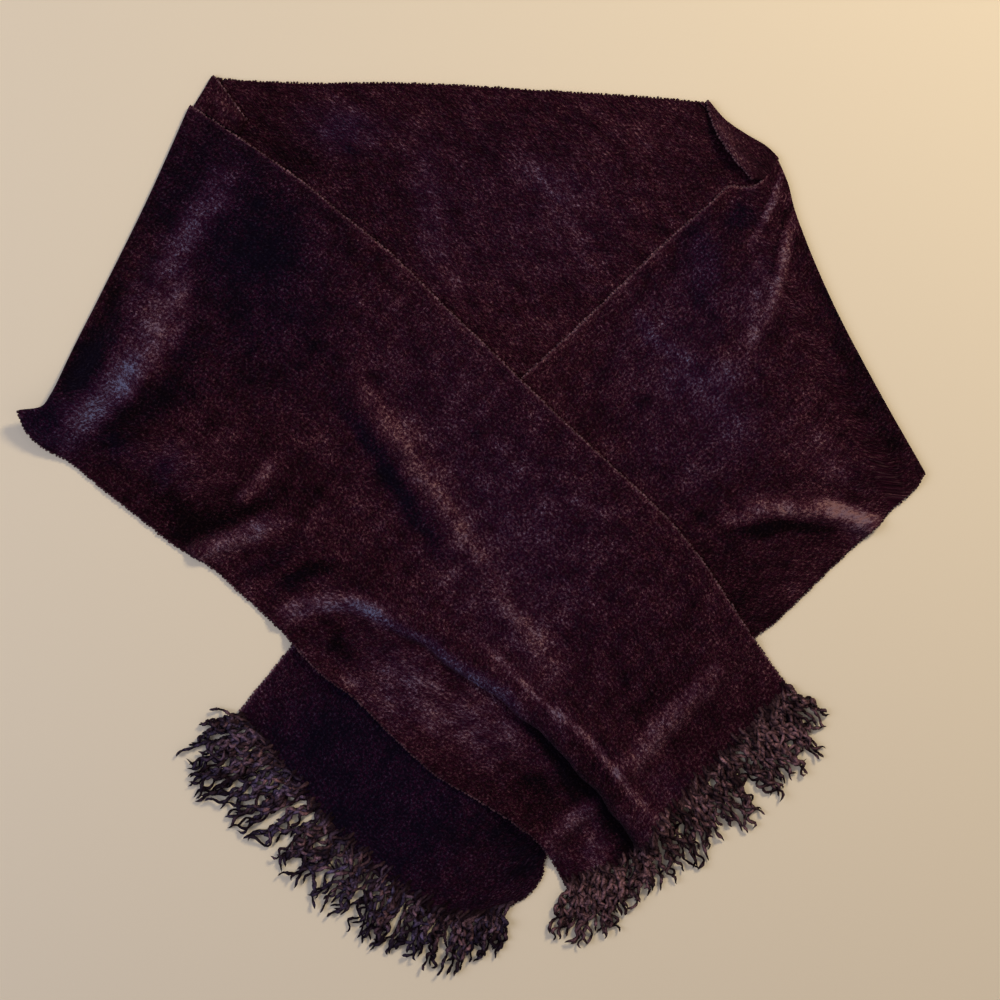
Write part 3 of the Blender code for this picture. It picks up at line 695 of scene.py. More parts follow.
class Stretch:
    """A sheet between two selvages.

    It starts at a fold line, or at a seam where it has no fold, and ends at a hem. Below are the
    outlines of the layers that it lies on, and edge is the painted highlight along its inner selvage.
    """

    def __init__(self, sections, start, end, folds, seam=None, below=(), fade=LONG_FADE, edge=0.0):
        self.sections = sections
        self.start = start
        self.end = end
        self.folds = folds
        self.seam = seam
        self.below = below
        self.fade = fade
        self.edge = edge
        self.pleated = False
        self.lift = None
        edges = smooth_rows(sections, np.linspace(0.0, 1.0, 120))
        middle = (edges[:, :2] + edges[:, 2:]) / 2
        self.length = np.linalg.norm(np.diff(middle, axis=0), axis=1).sum()
        self.width = np.linalg.norm(edges[:, :2] - edges[:, 2:], axis=1).mean()

    def bend_line(self, v):
        """Middle of the bend: the fold line moved in by the bend's outer radius, and the way out."""
        if self.seam is None:
            border = straight_rows(self.start, v)
            return border, np.zeros_like(border)
        fold = smooth_rows(self.start, v)
        place = np.clip(v, NUDGE, 1.0 - NUDGE)
        run = smooth_rows(self.start, place + NUDGE) - smooth_rows(self.start, place - NUDGE)
        out = np.stack((-run[..., 1], run[..., 0]), -1) / np.linalg.norm(run, axis=-1)[..., None]
        away = ((fold - straight_rows(self.seam, v)) * out).sum(axis=-1, keepdims=True)
        out *= np.sign(away)
        return fold - out * (BEND + CLOTH / 2), out

    def plan(self, s, v):
        """A straight line between the selvages, moved near its ends to meet the fold and the hem."""
        u = np.clip(s, 0.0, 1.0)
        edges = smooth_rows(self.sections, u)
        first, last = np.asarray(self.sections[0], float), np.asarray(self.sections[-1], float)
        across = v[..., None]
        ruled = edges[..., :2] * (1.0 - across) + edges[..., 2:] * across
        at_start = first[:2] * (1.0 - across) + first[2:] * across
        at_end = last[:2] * (1.0 - across) + last[2:] * across
        bend = self.bend_line(v)[0]
        hem = straight_rows(self.end, v) if self.seam is None else smooth_rows(self.end, v)
        near_start = ((1.0 - u) ** self.fade)[..., None]
        return ruled + (bend - at_start) * near_start + (hem - at_end) * (u**self.fade)[..., None]

    def surface(self, s, v):
        """Points at mid thickness in millimetres, and the painted light and coolness there."""
        flat = self.plan(s, v)
        height, light, cool = fold_fields(flat, self.folds)
        plan = flat
        if self.pleated:
            shift, lifted, place, share, strength = pleat(flat)
            plan = flat + shift
            height = height * (1.0 - PLEAT_CALM * smoothstep(lifted / PLEAT_TAKES_OVER)) + lifted
            pleat_light, pleat_cool = pleat_marks(place, share, strength)
            light = light + pleat_light
            cool = cool + pleat_cool
        # A painted highlight along the inner selvage.
        light = light + self.edge * np.exp(-((v * self.width / EDGE_HIGHLIGHT_WIDTH) ** 2))
        ease = np.clip(s, 0.0, 1.0) * self.length if self.seam is not None else FOLD_CALM
        height = (height + swell(plan)) * smoothstep(ease / FOLD_CALM)
        level = layers_below(plan, self.below)
        if self.seam is not None:
            bend, out = self.bend_line(v)
            seam = straight_rows(self.seam, v)
            reach = np.clip(s + 2.0, 0.0, 1.0)[..., None]
            turn = math.pi * (np.clip(s + 1.0, 0.0, 1.0) - 0.5)
            folded = seam + (bend - seam) * reach + out * (BEND * np.cos(turn))[..., None]
            plan = np.where(s[..., None] < 0, folded, plan)
            level = np.where(s < 0, BEND * (1.0 + np.sin(turn)), level)
        if self.lift is not None:
            away = np.hypot(plan[..., 0] - self.lift.x, plan[..., 1] - self.lift.y)
            height = height + self.lift.height * smoothstep(1.0 - away / self.lift.reach)
        z = level + height + CLOTH / 2
        return np.concatenate((plan, z[..., None]), axis=-1), light, cool


def square_to(points):
    """Unit directions square to a grid of points, upwards on its last row."""
    along = np.gradient(points, axis=0)
    across = np.gradient(points, axis=1)
    square = np.cross(along, across)
    square /= np.maximum(np.linalg.norm(square, axis=-1, keepdims=True), 1e-12)
    return square * np.sign(square[-1, :, 2].mean())


print("folds end", FOLD_CALM, "mm before the bend at the end of a stretch")

# %% [markdown]
# The two faces of the cloth
#
# A chenille strip has pile on both faces and is about 2 mm thick. A Solidify modifier could thicken a
# sheet, but its edges would be square. We move the middle surface out to both sides by half of the
# thickness. Near a selvage the thickness runs out on a quarter circle, so the edge is round, and the
# two faces share their outermost row of points. That makes one closed skin.

# %% Rows, columns and thickness
EDGE_PLACES = (0.0, 0.12, 0.4, 0.9, 1.7, 3.0)
RIM = 1.1
UNDER_ROWS = 5
BEND_ROWS = 13


def edge_clustered(width, step):
    """Places from 0 to 1 across a width in mm: close together at both edges, even between."""
    edges = np.array(EDGE_PLACES) / width
    count = max(int((width - 2 * EDGE_PLACES[-1]) / step), 2)
    inner = np.linspace(edges[-1], 1.0 - edges[-1], count + 1)[1:-1]
    return np.concatenate((edges, inner, 1.0 - edges[::-1]))


def strip_places(stretch, step):
    """Rows of a stretch: the part below the fold, the bend, then even steps to a rounded hem."""
    edges = np.array(EDGE_PLACES) / stretch.length
    rows = np.linspace(0.0, 1.0 - edges[-1], int(stretch.length / step))
    if stretch.seam is None:
        return np.concatenate((rows, 1.0 - edges[-2::-1]))
    under = np.linspace(-2.0, -1.0, UNDER_ROWS)[:-1]
    bend = np.linspace(-1.0, 0.0, BEND_ROWS)[:-1]
    return np.concatenate((under, bend, rows, 1.0 - edges[-2::-1]))


def half_thickness(s, v, stretch):
    """Half the cloth's thickness, run out on a quarter circle within RIM of a selvage or the hem."""
    edge = np.minimum(v, 1.0 - v) * stretch.width
    hem = (1.0 - s) * stretch.length
    near = np.clip(np.minimum(edge, hem) / RIM, 0.0, 1.0)
    return CLOTH / 2 * np.sqrt(1.0 - (1.0 - near) ** 2)


print("the edge is rounded over the last", RIM, "mm")


# %% Faces and meshes from whole arrays
def skin_faces(rows, columns):
    """Quads of two grids that share their border: the second grid reuses the first one's rim."""
    top = np.arange(rows * columns).reshape(rows, columns)
    low = top.copy()
    inside = np.arange((rows - 2) * (columns - 2)).reshape(rows - 2, columns - 2)
    low[1:-1, 1:-1] = rows * columns + inside

    def quads(grid):
        return np.stack((grid[:-1, :-1], grid[1:, :-1], grid[1:, 1:], grid[:-1, 1:]), -1).reshape(-1, 4)

    return np.concatenate((quads(top), quads(low)[:, ::-1]))


def mesh_object(name, points, faces, material):
    """A smooth-shaded object whose quads are put in place as whole arrays."""
    mesh = bpy.data.meshes.new(name)
    mesh.vertices.add(len(points))
    mesh.vertices.foreach_set("co", to_frame(points).astype(np.float32).ravel())
    mesh.loops.add(faces.size)
    mesh.loops.foreach_set("vertex_index", faces.astype(np.int32).ravel())
    mesh.polygons.add(len(faces))
    size = faces.shape[1]
    mesh.polygons.foreach_set("loop_start", np.arange(0, faces.size, size, dtype=np.int32))
    mesh.polygons.foreach_set("use_smooth", np.ones(len(faces), bool))
    mesh.update(calc_edges=True)
    mesh.validate()
    mesh.materials.append(material)
    item = bpy.data.objects.new(name, mesh)
    bpy.context.scene.collection.objects.link(item)
    return item


def set_point_field(item, name, values):
    """One number for each vertex, which a material reads as an attribute."""
    field = item.data.attributes.new(name, "FLOAT", "POINT")
    field.data.foreach_set("value", values.astype(np.float32).ravel())


def set_uv(item, faces, along, across):
    """A UV map from two lengths at each vertex, in decimetres."""
    layer = item.data.uv_layers.new(name="thread")
    pairs = np.stack((along.ravel()[faces.ravel()], across.ravel()[faces.ravel()]), -1)
    layer.data.foreach_set("uv", (pairs * 0.01).astype(np.float32).ravel())


def turned_out(points, faces):
    """The faces wound so that the volume they close is positive."""
    a, b, c = points[np.concatenate((faces[:, :3], faces[:, [0, 2, 3]]))].swapaxes(0, 1)
    return faces if (a * np.cross(b, c)).sum() > 0 else faces[:, ::-1]


print("quads of a grid of 3 by 3 points with two faces:", len(skin_faces(3, 3)))


# %% One piece of cloth
def cloth_piece(name, stretch, step, material):
    """A stretch of cloth as one closed skin, with its thread lengths and its painted light and coolness
    on the vertices.
    """
    s, v = np.meshgrid(strip_places(stretch, step), edge_clustered(stretch.width, step), indexing="ij")
    middle, light, cool = stretch.surface(s, v)
    square = square_to(middle)
    half = half_thickness(s, v, stretch)[..., None] * square
    inner = (slice(1, -1), slice(1, -1))
    points = np.concatenate(((middle + half).reshape(-1, 3), (middle - half)[inner].reshape(-1, 3)))
    points[:, 2] = np.maximum(points[:, 2], 0.0)
    faces = turned_out(points, skin_faces(*s.shape))
    along = np.zeros(s.shape)
    along[1:] = np.cumsum(np.linalg.norm(np.diff(middle, axis=0), axis=-1), axis=0)
    along -= along[-1]
    across = np.zeros(s.shape)
    across[:, 1:] = np.cumsum(np.linalg.norm(np.diff(middle, axis=1), axis=-1), axis=1)

    def both(field):
        return np.concatenate((field.ravel(), field[inner].ravel()))

    item = mesh_object(name, points, faces, material)
    set_uv(item, faces, both(along), both(across))
    # The painted highlight and shade and their coolness, as vertex fields.
    set_point_field(item, "light", both(light))
    set_point_field(item, "cool", both(cool))
    area = sum(face.area for face in item.data.polygons) / 2
    print(name, "grid", s.shape, "top", round(points[:, 2].max(), 1), "mm")
    print(name, "has", round(area, 5), "square metres of cloth")
    return item


# %% [markdown]
# Chenille, as a node group
#
# Real hairs could make the pile, but there would be millions, and no other program would keep them. So
# the pile is a colour and a bump. The group reads the thread map. Chenille yarns run across the strip
# 3.4 mm apart, tied down by warp threads, so there is a faint grid of ribs. On top of it lie three
# sizes of noise: single tufts under a millimetre wide, matted streaks that follow the threads, and wide
# areas where the pile lies another way. They add up to one value, how open the pile is, and the painted
# highlight and shade of the folds are added to it. That value picks a colour: black where the tufts
# stand close and where shade is painted, aubergine in between, and a pale pinkish grey where they part
# and where a highlight is painted. The painted coolness of the folds and a fourth noise let the hue
# drift between warm and bluish. The group puts out a colour and a height. The Principled shader with
# its sheen stays in the material, where its constants are set.

# %% Node helpers
def node(tree, kind, **settings):
    """A node with some of its settings."""
    made = tree.nodes.new(kind)
    for name, value in settings.items():
        setattr(made, name, value)
    return made


def calculate(tree, operation, *values):
    """A Math node: each value is a number or another node's output."""
    made = node(tree, "ShaderNodeMath", operation=operation)
    for socket, value in zip(made.inputs, values):
        if isinstance(value, (int, float)):
            socket.default_value = value
        else:
            tree.links.new(value, socket)
    return made.outputs[0]


def remap(tree, value, low, high):
    """A value stretched so that low gives 0 and high gives 1, held between."""
    made = node(tree, "ShaderNodeMapRange")
    made.inputs["From Min"].default_value = low
    made.inputs["From Max"].default_value = high
    tree.links.new(value, made.inputs["Value"])
    return made.outputs["Result"]


Noise = namedtuple("Noise", "scale detail roughness low high")


def noise(tree, vector, kind):
    """A noise value that is 0 at its low end and 1 at its high end, held between."""
    made = node(tree, "ShaderNodeTexNoise")
    made.inputs["Scale"].default_value = kind.scale
    made.inputs["Detail"].default_value = kind.detail
    made.inputs["Roughness"].default_value = kind.roughness
    tree.links.new(vector, made.inputs["Vector"])
    return remap(tree, made.outputs["Fac"], kind.low, kind.high)


def colour_mix(tree, factor, first, second):
    """Two colours mixed by a factor, on the colour sockets of a Mix node."""
    made = node(tree, "ShaderNodeMix", data_type="RGBA")
    pairs = ((made.inputs[0], factor), (made.inputs[6], first), (made.inputs[7], second))
    for socket, value in pairs:
        if isinstance(value, bpy.types.NodeSocket):
            tree.links.new(value, socket)
        else:
            socket.default_value = value
    return made.outputs[2]


# %% Colours and noises of the pile
# Black Pile also gives painted shade, and Lit Pile painted highlights and lit specks. The Cool colours
# are the same pile tinted bluish, for the painted cool light and shade of the folds and a random drift of
# hue.
PILE_COLOURS = {
    "Black Pile": (0.0024, 0.0009, 0.0017, 1.0),
    "Pile": (0.0200, 0.0031, 0.0088, 1.0),
    "Plum Pile": (0.0560, 0.0150, 0.0270, 1.0),
    "Lit Pile": (0.195, 0.098, 0.104, 1.0),
    "Cool Black": (0.0030, 0.0018, 0.0060, 1.0),
    "Cool Pile": (0.0190, 0.0031, 0.0155, 1.0),
    "Cool Plum": (0.0460, 0.0200, 0.0420, 1.0),
    "Cool Lit": (0.102, 0.103, 0.196, 1.0),
}
WEFT_PITCH = 0.034
WARP_PITCH = 0.026
TUFTS = Noise(40.0, 3.0, 0.8, 0.33, 0.68)
TIPS = Noise(48.0, 2.0, 0.75, 0.52, 0.73)
STREAKS_ACROSS = Noise(9.0, 6.0, 0.72, 0.3, 0.7)
STREAKS_ALONG = Noise(7.0, 6.0, 0.72, 0.3, 0.7)
WIDE_AREAS = Noise(2.4, 2.0, 0.55, 0.3, 0.7)
HUE_DRIFT = Noise(11.0, 5.0, 0.75, 0.3, 0.7)


def stretched(tree, vector, along, across):
    """The thread map with its two lengths scaled, so that a noise becomes streaky."""
    made = node(tree, "ShaderNodeMapping")
    made.inputs["Scale"].default_value = (along, across, 1.0)
    tree.links.new(vector, made.inputs["Vector"])
    return made.outputs["Vector"]


def pile_colours(tree, value, black, pile, plum, lit):
    """Black at 0, the pile's colour at 0.45, plum at 0.85 and lit pile at 1.4, mixed in between."""
    lower = colour_mix(tree, remap(tree, value, 0.0, 0.45), black, pile)
    middle = colour_mix(tree, remap(tree, value, 0.45, 0.85), lower, plum)
    return colour_mix(tree, remap(tree, value, 0.85, 1.4), middle, lit)


print("tufts:", 100.0 / TUFTS.scale, "mm, wide areas:", round(100.0 / WIDE_AREAS.scale), "mm")


# %% The chenille group
def chenille_group():
    """Colour and height of chenille pile from the thread map and the fields of painted light and
    coolness.

    Open pile and painted light = (level + streaks + wide areas) x tufts + painted light x streaks x half
    of the tufts + ribs. How cool it is = the painted coolness + the drift of the hue. Single tips of the
    pile shine through as lit specks, most where it is open.
    """
    group = bpy.data.node_groups.new("chenille_pile", "ShaderNodeTree")
    add = group.interface.new_socket
    add(name="Thread", in_out="INPUT", socket_type="NodeSocketVector")
    for name in ("Light", "Cool", "Level", "Specks", "Ribs"):
        add(name=name, in_out="INPUT", socket_type="NodeSocketFloat")
    for name in PILE_COLOURS:
        add(name=name, in_out="INPUT", socket_type="NodeSocketColor")
    add(name="Color", in_out="OUTPUT", socket_type="NodeSocketColor")
    add(name="Height", in_out="OUTPUT", socket_type="NodeSocketFloat")
    source = node(group, "NodeGroupInput").outputs
    sink = node(group, "NodeGroupOutput").inputs
    thread = source["Thread"]
    split = node(group, "ShaderNodeSeparateXYZ")
    group.links.new(thread, split.inputs[0])
    calc = partial(calculate, group)
    weft = calc("SINE", calc("MULTIPLY", split.outputs[0], 2 * math.pi / WEFT_PITCH))
    warp = calc("SINE", calc("MULTIPLY", split.outputs[1], 2 * math.pi / WARP_PITCH))
    ribs = calc("MULTIPLY_ADD", weft, 0.6, calc("MULTIPLY", warp, 0.4))

    tuft = noise(group, thread, TUFTS)
    across = noise(group, stretched(group, thread, 1.0, 0.45), STREAKS_ACROSS)
    along = noise(group, stretched(group, thread, 0.5, 1.0), STREAKS_ALONG)
    streaks = calc("MULTIPLY", calc("ADD", across, along), 0.5)
    level = calc("MULTIPLY_ADD", calc("SUBTRACT", streaks, 0.5), 0.9, source["Level"])
    wide = noise(group, thread, WIDE_AREAS)
    level = calc("MULTIPLY_ADD", calc("SUBTRACT", wide, 0.5), 0.20, level)
    grain = calc("MULTIPLY_ADD", calc("MULTIPLY", tuft, tuft), 2.0, 0.3)
    # The painted highlight and shade of the folds, from the Light input.
    painted_fold_light = calc("MULTIPLY", source["Light"], calc("MULTIPLY_ADD", streaks, 1.3, 0.3))
    painted_fold_light = calc("MULTIPLY", painted_fold_light, calc("MULTIPLY_ADD", grain, 0.5, 0.5))
    open_pile_and_light = calc("MULTIPLY_ADD", level, grain, painted_fold_light)
    rib_show = calc("MULTIPLY", calc("MULTIPLY", ribs, source["Ribs"]), streaks)
    value = calc("ADD", open_pile_and_light, rib_show)
    show = calc("MULTIPLY_ADD", remap(group, open_pile_and_light, 0.0, 0.7), 0.36, 0.06)
    specks = calc("MULTIPLY", calc("MULTIPLY", noise(group, thread, TIPS), source["Specks"]), show)

    warm = pile_colours(group, value, *[source[name] for name in list(PILE_COLOURS)[:4]])
    cold = pile_colours(group, value, *[source[name] for name in list(PILE_COLOURS)[4:]])
    drift = calc("SUBTRACT", noise(group, thread, HUE_DRIFT), 0.5)
    # Painted coolness of the folds, plus a random drift of hue.
    coolness = remap(group, calc("MULTIPLY_ADD", drift, 0.7, source["Cool"]), 0.0, 1.0)
    shade = colour_mix(group, coolness, warm, cold)
    tip = colour_mix(group, coolness, source["Lit Pile"], source["Cool Lit"])
    group.links.new(colour_mix(group, specks, shade, tip), sink["Color"])
    height = calc("ADD", calc("MULTIPLY", tuft, 0.8), calc("MULTIPLY", ribs, 0.15))
    group.links.new(height, sink["Height"])
    return group


pile_group = chenille_group()
print("chenille group has", len(pile_group.nodes), "nodes")

# %% The cloth's materials
SHEEN_TINT = (0.90, 0.62, 0.78, 1.0)
Sheen = namedtuple("Sheen", "weight roughness")


def pile_material(name, group, sheen, bump_distance, fields, values):
    """Pile with no shine and a soft sheen. Its colour and bump come from a group, fed by fields."""
    material = bpy.data.materials.new(name)
    material.use_nodes = True
    tree = material.node_tree
    shader = tree.nodes["Principled BSDF"]
    shader.inputs["Roughness"].default_value = 0.95
    shader.inputs["Specular IOR Level"].default_value = 0.0
    shader.inputs["Sheen Weight"].default_value = sheen.weight
    shader.inputs["Sheen Roughness"].default_value = sheen.roughness
    shader.inputs["Sheen Tint"].default_value = SHEEN_TINT
    pile = node(tree, "ShaderNodeGroup", node_tree=group)
    if "Thread" in pile.inputs:
        thread = node(tree, "ShaderNodeUVMap", uv_map="thread")
        tree.links.new(thread.outputs["UV"], pile.inputs["Thread"])
    for socket, field in fields.items():
        read = node(tree, "ShaderNodeAttribute", attribute_name=field)
        tree.links.new(read.outputs["Fac"], pile.inputs[socket])
    for socket, value in values.items():
        pile.inputs[socket].default_value = value
    bump = node(tree, "ShaderNodeBump")
    bump.inputs["Strength"].default_value = 0.9
    bump.inputs["Distance"].default_value = bump_distance
    tree.links.new(pile.outputs["Height"], bump.inputs["Height"])
    tree.links.new(bump.outputs["Normal"], shader.inputs["Normal"])
    tree.links.new(pile.outputs["Color"], shader.inputs["Base Color"])
    return material


def chenille_material(name, level, ribs):
    """The cloth's pile: how open it is, and how much its ribs show."""
    values = {"Level": level, "Ribs": ribs, "Specks": 1.0, **PILE_COLOURS}
    fields = {"Light": "light", "Cool": "cool"}
    return pile_material(name, pile_group, Sheen(0.045, 0.42), 0.0012, fields, values)


cloth_material = chenille_material("aubergine_chenille", level=0.37, ribs=0.05)
back_material = chenille_material("aubergine_chenille_laid", level=0.36, ribs=0.12)
print("materials:", cloth_material.name, "and", back_material.name)

# %% [markdown]
# The five stretches of cloth
#
# Each stretch replaces its rigid solid. The under arm lies on the back, and the over arm on both, so
# their outlines are worked out first: the folds' bends belong to the layer on the surface. Measuring
# what lies below point by point would work too, but an outline gives a clean step at its edge.

# %% Outlines of the lower layers
SEAM_SPLIT = (0.087, 0.10)
SEAM_GAP = 0.5


def split_line(line, start, end):
    """The part of a straight line between two shares of its length."""
    first, last = np.asarray(line[0], float), np.asarray(line[1], float)
    return [first + (last - first) * start, first + (last - first) * end]


def sheet_outline(stretch):
    """Outline of a stretch: along one selvage, the hem, back along the other, and the fold."""
    run = np.linspace(0.0, 1.0, 26)
    zero, one = np.zeros_like(run), np.ones_like(run)
    sides = (
        stretch.plan(run, zero),
        stretch.plan(one, run)[1:],
        stretch.plan(run[::-1], one)[1:],
        stretch.plan(zero, run[::-1])[1:-1],
    )
    return np.concatenate(sides)


top_edge = [section[:2] for section in BACK_SECTIONS]
low_edge = [section[2:] for section in BACK_SECTIONS]
right_side = RIGHT_TUCK_FOLD + RIGHT_FOLD
left_side = LEFT_FOLD[::-1] + LEFT_TUCK_FOLD[::-1]
bottom_outline = np.array(top_edge + right_side + low_edge[::-1] + left_side, float)
print("outline of the layer on the surface:", len(bottom_outline), "points")

# %% The back and the arms as stretches
gap = np.array([SEAM_GAP, 0.0])
back = Stretch(BACK_SECTIONS, np.array(LEFT_SEAM) + gap, np.array(RIGHT_SEAM) - gap, BACK_FOLDS)
under = Stretch(
    UNDER_SECTIONS,
    RIGHT_FOLD,
    UNDER_HEM,
    UNDER_FOLDS,
    seam=split_line(RIGHT_SEAM[1:], 0.008, 1.0),
    below=(bottom_outline,),
    edge=0.5,
)
over = Stretch(
    OVER_SECTIONS,
    LEFT_FOLD,
    OVER_HEM,
    OVER_FOLDS,
    seam=split_line(LEFT_SEAM, SEAM_SPLIT[1], 1.0),
    below=(bottom_outline, sheet_outline(under)),
    edge=0.35,
)
over.pleated = True
over.lift = CORNER_LIFT
for stretch in (back, under, over):
    print("stretch", round(stretch.length), "mm long and", round(stretch.width), "mm wide in the plan")

# %% The tucks as stretches
left_tuck = Stretch(
    LEFT_TUCK_SECTIONS,
    LEFT_TUCK_FOLD,
    [LEFT_TUCK_SECTIONS[-1][:2], LEFT_TUCK_SECTIONS[-1][2:]],
    LEFT_TUCK_FOLDS,
    seam=split_line(LEFT_SEAM, 0.0, SEAM_SPLIT[0]),
    below=(bottom_outline,),
    fade=TUCK_FADE,
)
right_tuck = Stretch(
    RIGHT_TUCK_SECTIONS,
    RIGHT_TUCK_FOLD,
    [RIGHT_TUCK_SECTIONS[-1][:2], RIGHT_TUCK_SECTIONS[-1][2:]],
    RIGHT_TUCK_FOLDS,
    seam=split_line(RIGHT_SEAM, 0.0, 0.985),
    below=(bottom_outline,),
    fade=TUCK_FADE,
)
for stretch in (left_tuck, right_tuck):
    print("tuck", round(stretch.length), "mm long and", round(stretch.width), "mm wide in the plan")

# %% Make the cloth
CLOTHS = {
    "back_stretch": ("back_cloth", back, 3.2, back_material),
    "under_arm": ("under_cloth", under, 2.3, cloth_material),
    "over_arm": ("over_cloth", over, 2.15, cloth_material),
    "left_tuck": ("left_tuck_cloth", left_tuck, 1.2, back_material),
    "right_tuck": ("right_tuck_cloth", right_tuck, 1.3, back_material),
}
for cad_node, (piece_name, stretch, step, material) in CLOTHS.items():
    piece = cloth_piece(piece_name, stretch, step, material)
    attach(piece, "root")
    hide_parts(cad_node)

# %% [markdown]
# Selvages
#
# At each edge of the weave the chenille yarn turns back into the cloth, and the turns show as a row of
# small furry loops 2.8 mm apart. They give the edge its saw-tooth outline, and a highlight is painted
# on them, strongest on the inner edges. A bump couldn't change the outline, and real loops would be too
# small to see. So each is a little ellipsoid, set on the edge curve at nearly even lengths.

# %% Loops along the selvages
LOOP_PITCH = 2.8
LOOP_RADII = (1.35, 1.1, 0.95)
LOOP_OUT = 0.15
LOOP_RINGS = 4
LOOP_SIDES = 7
UNEVEN_PITCH = 0.35
UNEVEN_OUT = 0.25
UNEVEN_SIZE = 0.16
EDGE_DETAIL = 2400
LOOK_AHEAD = 1.5


def unit_ball():
    """Points and triangles of a low ball: rings between two poles."""
    heights = np.cos(np.linspace(0.0, math.pi, LOOP_RINGS + 2)[1:-1])
    angles = np.arange(LOOP_SIDES) * 2 * math.pi / LOOP_SIDES
    radii = np.sqrt(1.0 - heights**2)
    ring = np.stack((np.cos(angles), np.sin(angles)), -1)
    across = (radii[:, None, None] * ring).reshape(-1, 2)
    body = np.column_stack((across, np.repeat(heights, LOOP_SIDES)))
    points = np.concatenate((body, [(0, 0, 1.0), (0, 0, -1.0)]))
    grid = np.arange(LOOP_RINGS * LOOP_SIDES).reshape(LOOP_RINGS, LOOP_SIDES)
    after = np.roll(grid, -1, axis=1)
    first = np.stack((grid[:-1], grid[1:], after[1:]), -1).reshape(-1, 3)
    second = np.stack((grid[:-1], after[1:], after[:-1]), -1).reshape(-1, 3)
    top, low = len(points) - 2, len(points) - 1
    caps_top = np.stack((np.full(LOOP_SIDES, top), grid[0], after[0]), -1)
    caps_low = np.stack((np.full(LOOP_SIDES, low), after[-1], grid[-1]), -1)
    return points, np.concatenate((first, second, caps_top, caps_low))


def unit(vectors):
    """Vectors divided by their lengths."""
    return vectors / np.maximum(np.linalg.norm(vectors, axis=-1, keepdims=True), 1e-6)


def selvage_loops(name, stretch, edges, material, seed):
    """Loops on the selvages of a stretch: ellipsoids turned along the edge and out from it.

    Each edge is a place across the strip and the painted highlight of its loops, spread at random.
    """
    random = np.random.default_rng(seed)
    ball, triangles = unit_ball()
    centres, frames, tones = [], [], []
    for v_edge, tone in edges:
        s = np.linspace(-2.0 if stretch.seam is not None else 0.0, 1.0, EDGE_DETAIL)
        line = stretch.surface(s, np.full_like(s, v_edge))[0]
        inner = stretch.surface(s, np.full_like(s, 0.01 if v_edge == 0.0 else 0.99))[0]
        lengths = np.concatenate(([0.0], np.cumsum(np.linalg.norm(np.diff(line, axis=0), axis=1))))
        at = np.arange(LOOP_PITCH / 2, lengths[-1], LOOP_PITCH)
        at = at + random.normal(0.0, UNEVEN_PITCH, len(at))
        centre = read_line(at, lengths, line)
        ahead = unit(read_line(at + LOOK_AHEAD, lengths, line) - centre)
        out = centre - read_line(at, lengths, inner)
        out = unit(out - (out * ahead).sum(-1, keepdims=True) * ahead)
        centres.append(centre + out * (LOOP_OUT + random.normal(0.0, UNEVEN_OUT, (len(at), 1))))
        frames.append(np.stack((ahead, out, np.cross(ahead, out)), axis=1))
        tones.append(tone * random.uniform(0.45, 1.15, len(at)))
    centres = np.concatenate(centres)
    sizes = np.array(LOOP_RADII) * (1.0 + random.normal(0.0, UNEVEN_SIZE, (len(centres), 3)))
    turned = np.einsum("pk,nk,nkj->npj", ball, sizes, np.concatenate(frames))
    points = centres[:, None] + turned
    points[..., 2] = np.maximum(points[..., 2], 0.0)
    first_points = np.arange(len(centres)) * len(ball)
    faces = (triangles[None] + first_points[:, None, None]).reshape(-1, 3)
    item = mesh_object(name, points.reshape(-1, 3), faces, material)
    set_point_field(item, "light", np.repeat(np.concatenate(tones), len(ball)))
    print(name, "loops", len(centres), "triangles", len(faces))
    return item


print("one loop has", len(unit_ball()[1]), "triangles")

# %% Furry yarn, as a node group
YARN_TUFTS = Noise(430.0, 3.0, 0.8, 0.36, 0.66)
YARN_PATCHES = Noise(70.0, 2.0, 0.6, 0.34, 0.66)


def yarn_group():
    """Colour and height of a furry yarn: tufts x patches x the yarn's tone, painted light and shade with
    a random part, from deep to tip.
    """
    group = bpy.data.node_groups.new("furry_yarn", "ShaderNodeTree")
    add = group.interface.new_socket
    add(name="Tone", in_out="INPUT", socket_type="NodeSocketFloat")
    add(name="Cool", in_out="INPUT", socket_type="NodeSocketFloat")
    for name in ("Deep", "Tip", "Cool Tip"):
        add(name=name, in_out="INPUT", socket_type="NodeSocketColor")
    add(name="Color", in_out="OUTPUT", socket_type="NodeSocketColor")
    add(name="Height", in_out="OUTPUT", socket_type="NodeSocketFloat")
    source = node(group, "NodeGroupInput").outputs
    sink = node(group, "NodeGroupOutput").inputs
    place = node(group, "ShaderNodeTexCoord").outputs["Object"]
    tuft = noise(group, place, YARN_TUFTS)
    patch = noise(group, place, YARN_PATCHES)
    calc = partial(calculate, group)
    value = calc("MULTIPLY_ADD", tuft, 0.9, 0.18)
    value = calc("MULTIPLY", value, calc("MULTIPLY_ADD", patch, 0.95, 0.25))
    value = calc("MULTIPLY", value, source["Tone"])
    tip = colour_mix(group, remap(group, source["Cool"], 0.0, 1.0), source["Tip"], source["Cool Tip"])
    group.links.new(colour_mix(group, value, source["Deep"], tip), sink["Color"])
    group.links.new(tuft, sink["Height"])
    return group


furry = yarn_group()
print("yarn group has", len(furry.nodes), "nodes")

# %% Materials of the yarns
COOL_TIP = (0.155, 0.118, 0.250, 1.0)


def yarn_material(name, deep, tip, sheen_weight):
    """Furry yarn: dark between the tufts and greyish at their tips."""
    values = {"Deep": deep, "Tip": tip, "Cool Tip": COOL_TIP}
    fields = {"Tone": "light", "Cool": "cool"}
    return pile_material(name, furry, Sheen(sheen_weight, 0.45), 0.0005, fields, values)


